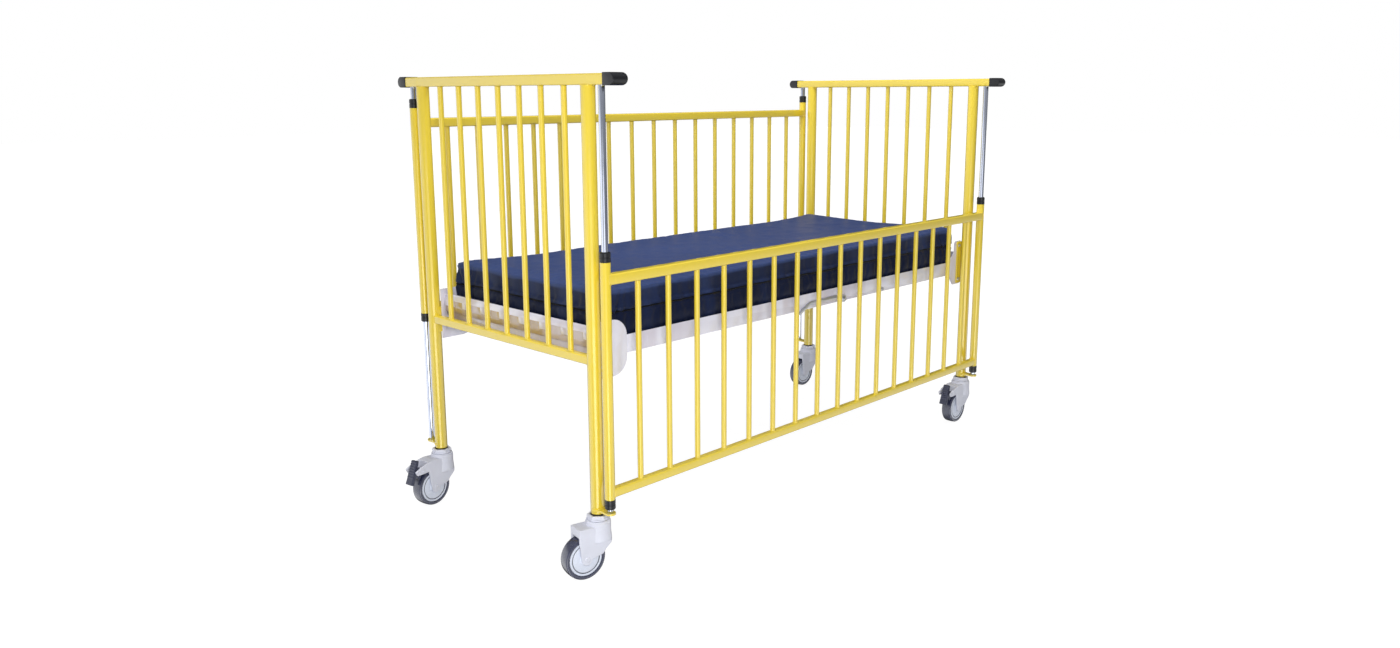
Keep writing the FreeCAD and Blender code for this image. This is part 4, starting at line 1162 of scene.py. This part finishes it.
def dress_pins(corner, braked):
    """Domed axle caps, and those of the pedal's pin where there is one."""
    place = caster_frame(corner)
    bm = bmesh.new()
    axle = Vector(joint_named(corner + "_roll")["pos_m"])
    spots = [(place.inverted() @ axle, 8 * MM)]
    if braked:
        spots.append((place.inverted() @ Vector(joint_named(corner + "_brake_press")["pos_m"]),
                      5.5 * MM))
    for spot, radius in spots:
        for side in (-1, 1):
            seat = place @ Matrix.Translation((spot.x, side * CHEEK, spot.z)) @ up_to((0, side, 0))
            cap = [(0.01 * MM, -CHEEK), (radius * 0.6, -CHEEK), (radius * 0.6, 0), (radius, 0),
                   (radius, 0.6 * MM), (radius * 0.85, 1.3 * MM), (radius * 0.4, 1.6 * MM),
                   (0.01 * MM, 1.6 * MM)]
            add_lathe(bm, cap, seat, 28)
    bmesh.ops.remove_doubles(bm, verts=bm.verts, dist=0.02 * MM)
    piece(corner + "_axle_caps", bm, "steel", corner + "_fork_body", [corner + "_pins"],
          paint="caster_grey")


def dress_pedal(corner):
    """Ribbed pedal: the CAD form rounded, with grip ribs on its outer face."""
    sizes = bpy.context.scene.cot_sizes
    place = caster_frame(corner)
    inverse = place.inverted()
    node = corner + "_pedal"
    local = [inverse @ v.co for v in frame["nodes"][node].data.vertices]
    top = max(local, key=lambda c: c.z * 3 + c.x)
    toe = max(local, key=lambda c: c.x * 3 - c.z)
    half = max(c.y for c in local)
    run = Vector((toe.x - top.x, 0, toe.z - top.z))
    facing = Vector((-run.z, 0, run.x)).normalized()
    if facing.x < 0:
        facing = -facing

    def ribs(bm):
        for v in bm.verts:
            flat = inverse @ v.co
            down = min(1, max(0, (top.z - flat.z) / (top.z - toe.z)))
            if flat.x > top.x - 14 * MM:
                v.co = place @ Vector((flat.x, flat.y * (0.66 + 0.2 * down * down), flat.z))
        count = sizes.pedal_ribs
        for i in range(count):
            t = 0.06 + 0.62 * i / (count - 1)
            centre = Vector((top.x, 0, top.z)) + run * t + facing * 0.2 * MM
            bar = bmesh.ops.create_cube(bm, size=1)["verts"]
            turn = run.to_track_quat("Z", "Y").to_matrix()
            for v in bar:
                size = Vector((2.6 * MM, (half - 2 * MM) * (1.3 + 0.3 * t), 3.0 * MM))
                offset = Vector([v.co[k] * size[k] for k in range(3)])
                flat = facing * offset.x + Vector((0, offset.y, 0)) + run.normalized() * offset.z
                v.co = place @ (centre + flat)
    softened(node, corner + "_brake_pad", "pedal_plastic", corner + "_brake", 0.9 * MM, 14, 0.35,
             extra=ribs)


def swivel_ring(corner):
    """Proud ring round the swivel column, with a groove over it."""
    place = caster_frame(corner)
    column_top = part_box(corner + "_fork")[1].z
    low, high, outer, inner = column_top - 23 * MM, column_top - 4 * MM, 34.8 * MM, 31 * MM
    profile = [(inner, low), (outer - 1 * MM, low), (outer, low + 1.2 * MM),
               (outer, high - 1.6 * MM), (outer - 1.4 * MM, high), (inner, high)]
    return lambda bm: (add_lathe(bm, profile, place, 64), outward(bm))


def dress_collars():
    """Hexagon collars, with a black disc in the well round the stem as painted shade."""
    low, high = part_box("caster_collars")
    outer = 29.5 * MM
    bore, well = 9 * MM, 24 * MM
    nut = [(bore, low.z + 5 * MM), (outer * 1.02, low.z + 5 * MM), (outer * 1.04, low.z + 6 * MM),
           (outer * 1.04, high.z - 1.5 * MM), (outer * 0.99, high.z), (well, high.z),
           (well - 0.5 * MM, high.z - 3 * MM), (bore, high.z - 3 * MM)]
    skirt = [(bore, low.z), (outer * 0.94, low.z), (outer * 0.98, low.z + 1 * MM),
             (outer * 0.98, low.z + 5 * MM), (bore, low.z + 5 * MM)]
    # A black disc on the well's floor: painted shade in the gap round the stem.
    floor = [(bore, high.z - 3 * MM), (well - 1 * MM, high.z - 3 * MM),
             (well - 1 * MM, high.z - 2.4 * MM), (bore, high.z - 2.4 * MM)]
    bm, shade_discs = bmesh.new(), bmesh.new()
    for end, side in CORNERS.values():
        place = Matrix.Translation((POST_X[end], side * POST_Y, 0))
        add_lathe(bm, nut, place @ Matrix.Rotation(math.radians(20), 4, "Z"), 6)
        add_lathe(bm, skirt, place, 48)
        add_lathe(shade_discs, floor, place, 36)
    piece("collars", bm, "caster_grey", "frame", ["caster_collars"])
    piece("collar_shade_discs", shade_discs, "black_plastic", "frame", ["caster_collars"])


def dress_casters():
    refined("caster_stems", "stems", "steel", "frame")
    dress_collars()
    for corner in CORNERS:
        braked = corner + "_pedal" in frame["nodes"]
        softened(corner + "_fork", corner + "_hood", "caster_grey", corner + "_fork_body",
                 1.1 * MM, 5, 0.3, trim=swivel_ring(corner))
        dress_pins(corner, braked)
        dress_wheels(corner)
        if braked:
            dress_pedal(corner)


# ---- studio
ROOM_BASE = 0.26          # light from every side of the room
ROOM_ABOVE = 0.38
ROOM_LEFT = 1.2           # pale wall left of the cot
ROOM_RIGHT = 0.9          # pale floor right of it
ROOM_BEHIND = 0.85        # how much darker the room is behind the cot
PANEL_GLOW = 2.6          # soft panel beside the camera, which the bars reflect
PANEL_TOP_GLOW = 1.4      # what its upper part has
PANEL_TURN = math.radians(7)
PANEL_EDGES = (0.90, 0.985)
KEY_PLACE = (-2.6, -2.7, 1.6)
KEY_SIZE = 0.8
KEY_POWER = 56
TOP_PLACE = (0.0, 0.0, 3.6)
TOP_SIZE = 1.4
TOP_POWER = 60
CAMERA_PLACE = Vector((POST_X["foot"] - 1.702885, -2.424183, 1.287381))
CAMERA_YAW = math.radians(43.9792)
CAMERA_PITCH = math.radians(-10.8740)
FOCAL_PX = 1037.66
AXIS_PX = (702.53, 292.16)
IMAGE_PX = (1400, 648)
SENSOR = 36.0


def set_camera():
    yaw, pitch, roll = CAMERA_YAW, CAMERA_PITCH, bpy.context.scene.cot_sizes.camera_turn
    forward = Vector((math.cos(pitch) * math.cos(yaw), math.cos(pitch) * math.sin(yaw),
                      math.sin(pitch)))
    right = Vector((math.sin(yaw), -math.cos(yaw), 0))
    up = right.cross(forward)
    right, up = (right * math.cos(roll) + up * math.sin(roll),
                 up * math.cos(roll) - right * math.sin(roll))
    data = bpy.data.cameras.new("camera")
    data.sensor_width = SENSOR
    data.lens = FOCAL_PX * SENSOR / IMAGE_PX[0]
    data.shift_x = (IMAGE_PX[0] / 2 - AXIS_PX[0]) / IMAGE_PX[0]
    data.shift_y = (AXIS_PX[1] - IMAGE_PX[1] / 2) / IMAGE_PX[0]
    camera = link("camera", data)
    turn = Matrix((right, up, -forward)).transposed()
    camera.matrix_world = Matrix.Translation(CAMERA_PLACE) @ turn.to_4x4()
    bpy.context.scene.camera = camera


def add_softbox(name, place, size, power):
    """Square area lamp aimed at the middle of the cot."""
    lamp = bpy.data.lights.new(name, "AREA")
    lamp.energy = power
    lamp.size = size
    obj = link(name, lamp)
    aim = Vector((0, 0, 0.7)) - Vector(place)
    obj.matrix_world = Matrix.Translation(place) @ aim.to_track_quat("-Z", "Y").to_matrix().to_4x4()
    obj.visible_glossy = False


def set_world():
    """White to the camera; to the object a room with pale walls and a low bright panel."""
    world = bpy.data.worlds.new("studio")
    world.use_nodes = True
    bpy.context.scene.world = world
    t = Tree(world.node_tree)
    seen = t.node("ShaderNodeLightPath").of("Is Camera Ray")
    way = t.node("ShaderNodeSeparateXYZ", {}, {0: t.node("ShaderNodeTexCoord", out="Generated")})
    level_x, level_y, height = way.of("X"), way.of("Y"), way.of("Z")
    right = level_x * 0.69 - level_y * 0.72
    behind = t.band(level_x * 0.72 + level_y * 0.69, 0.35, 0.75) * (1 - t.band(height, 0.7, 0.95))
    low = 1 - t.band(height, -0.34, -0.02)
    flat = t.node("ShaderNodeVectorMath", {"operation": "NORMALIZE"}, {0: t.node(
        "ShaderNodeCombineXYZ", {}, {"X": level_x, "Y": level_y})})
    turn = CAMERA_YAW + math.pi + PANEL_TURN
    facing = t.node("ShaderNodeVectorMath", {"operation": "DOT_PRODUCT"},
                    {0: flat, 1: (math.cos(turn), math.sin(turn), 0)}, out="Value")
    panel = t.band(facing, *PANEL_EDGES) * (
        low * PANEL_GLOW + (1 - t.band(height, 0.05, 0.3)) * PANEL_TOP_GLOW)
    walls = (t.band(0 - right, 0.35, 0.8) * (1 - t.band(height, 0.1, 0.4)) * ROOM_LEFT
             + t.band(right, 0.4, 0.8) * low * ROOM_RIGHT)
    room = (t.band(height, 0.0, 0.9) * ROOM_ABOVE + ROOM_BASE) * (1 - behind * ROOM_BEHIND)
    light = t.node("ShaderNodeBackground", {}, {"Color": (0.97, 0.98, 1.0, 1),
                                                "Strength": room + walls + panel})
    white = t.node("ShaderNodeBackground", {}, {"Color": (1, 1, 1, 1), "Strength": 1.0})
    mixed = t.node("ShaderNodeMixShader", {}, {0: seen, 1: light, 2: white})
    t.node("ShaderNodeOutputWorld", {}, {"Surface": mixed})


def set_floor():
    """Pure white to the camera where nothing shades it, and a soft grey in reflections."""
    bm = bmesh.new()
    bmesh.ops.create_grid(bm, x_segments=1, y_segments=1, size=30)
    obj = to_object("floor", bm)
    material = bpy.data.materials.new("Floor")
    material.use_nodes = True
    t = Tree(material.node_tree)
    colour = bpy.context.scene.cot_colours.floor
    spot = t.node("ShaderNodeSeparateXYZ", {}, {0: t.node("ShaderNodeTexCoord", out="Object")})
    behind = spot.of("X") * 0.72 + spot.of("Y") * 0.69
    shade = t.blend(t.band(behind, 0.0, 4.0), colour, shade_of(colour, 0.35))
    matt = t.node("ShaderNodeBsdfDiffuse", {}, {"Color": shade})
    away = t.node("ShaderNodeVectorMath", {"operation": "LENGTH"},
                  {0: t.node("ShaderNodeTexCoord", out="Object")}, out="Value")
    white = t.node("ShaderNodeEmission", {}, {"Color": (1, 1, 1, 1),
                                              "Strength": t.band(away, 1.4, 3.5) * 0.2 + 1.33})
    seen = t.node("ShaderNodeLightPath").of("Is Camera Ray") * 0.7
    mixed = t.node("ShaderNodeMixShader", {}, {0: seen, 1: matt, 2: white})
    t.node("ShaderNodeOutputMaterial", {}, {"Surface": mixed})
    obj.data.materials.append(material)
    obj.visible_glossy = False


def set_stage():
    scene = bpy.context.scene
    scene.view_settings.view_transform = "Standard"
    set_camera()
    set_world()
    set_floor()
    add_softbox("key", KEY_PLACE, KEY_SIZE, KEY_POWER)
    add_softbox("top", TOP_PLACE, TOP_SIZE, TOP_POWER)


# ---- operators
class COT_OT_stage(bpy.types.Operator):
    """Set the camera, the lamps, the world and the floor"""
    bl_idname = "cot.stage"
    bl_label = "Set the stage"

    def execute(self, context):
        set_stage()
        return {"FINISHED"}


class COT_OT_end_frames(bpy.types.Operator):
    """Make the end frames, the guide rods, their brackets and the buffers"""
    bl_idname = "cot.end_frames"
    bl_label = "End frames"

    def execute(self, context):
        dress_end_frames()
        return {"FINISHED"}


class COT_OT_drop_sides(bpy.types.Operator):
    """Make both drop sides with their bars and bushes"""
    bl_idname = "cot.drop_sides"
    bl_label = "Drop sides"

    def execute(self, context):
        dress_drop_sides()
        return {"FINISHED"}


class COT_OT_deck(bpy.types.Operator):
    """Make the deck, its plates and its bolts"""
    bl_idname = "cot.deck"
    bl_label = "Deck"

    def execute(self, context):
        dress_deck()
        return {"FINISHED"}


class COT_OT_backrest(bpy.types.Operator):
    """Make the lifting backrest, its stay and the release lever"""
    bl_idname = "cot.backrest"
    bl_label = "Backrest"

    def execute(self, context):
        dress_backrest()
        return {"FINISHED"}


class COT_OT_mattress(bpy.types.Operator):
    """Make the mattress and its piping"""
    bl_idname = "cot.mattress"
    bl_label = "Mattress"

    def execute(self, context):
        dress_mattress()
        return {"FINISHED"}


class COT_OT_casters(bpy.types.Operator):
    """Make the four casters and their pedals"""
    bl_idname = "cot.casters"
    bl_label = "Casters"

    def execute(self, context):
        dress_casters()
        return {"FINISHED"}


OPERATORS = (COT_OT_stage, COT_OT_end_frames, COT_OT_drop_sides, COT_OT_deck,
             COT_OT_backrest, COT_OT_mattress, COT_OT_casters)


class COT_PT_panel(bpy.types.Panel):
    """Lists the cot's pieces in the sidebar"""
    bl_idname = "COT_PT_panel"
    bl_label = "Hospital cot"
    bl_space_type = "VIEW_3D"
    bl_region_type = "UI"
    bl_category = "Cot"

    def draw(self, context):
        for group in (context.scene.cot_sizes, context.scene.cot_colours):
            for name in group.bl_rna.properties.keys():
                if name not in ("rna_type", "name"):
                    self.layout.prop(group, name)
        for operator in OPERATORS:
            self.layout.operator(operator.bl_idname)


CLASSES = (CotSizes, CotColours) + OPERATORS + (COT_PT_panel,)


def register():
    for item in CLASSES:
        bpy.utils.register_class(item)
    bpy.types.Scene.cot_sizes = PointerProperty(type=CotSizes)
    bpy.types.Scene.cot_colours = PointerProperty(type=CotColours)


def unregister():
    del bpy.types.Scene.cot_sizes
    del bpy.types.Scene.cot_colours
    for item in reversed(CLASSES):
        bpy.utils.unregister_class(item)


def main():
    register()
    GROUPS["bars"] = bar_tree()
    bpy.ops.cot.stage()
    bpy.ops.cot.end_frames()
    bpy.ops.cot.drop_sides()
    bpy.ops.cot.deck()
    bpy.ops.cot.backrest()
    bpy.ops.cot.mattress()
    bpy.ops.cot.casters()


if __name__ == "__main__":
    main()
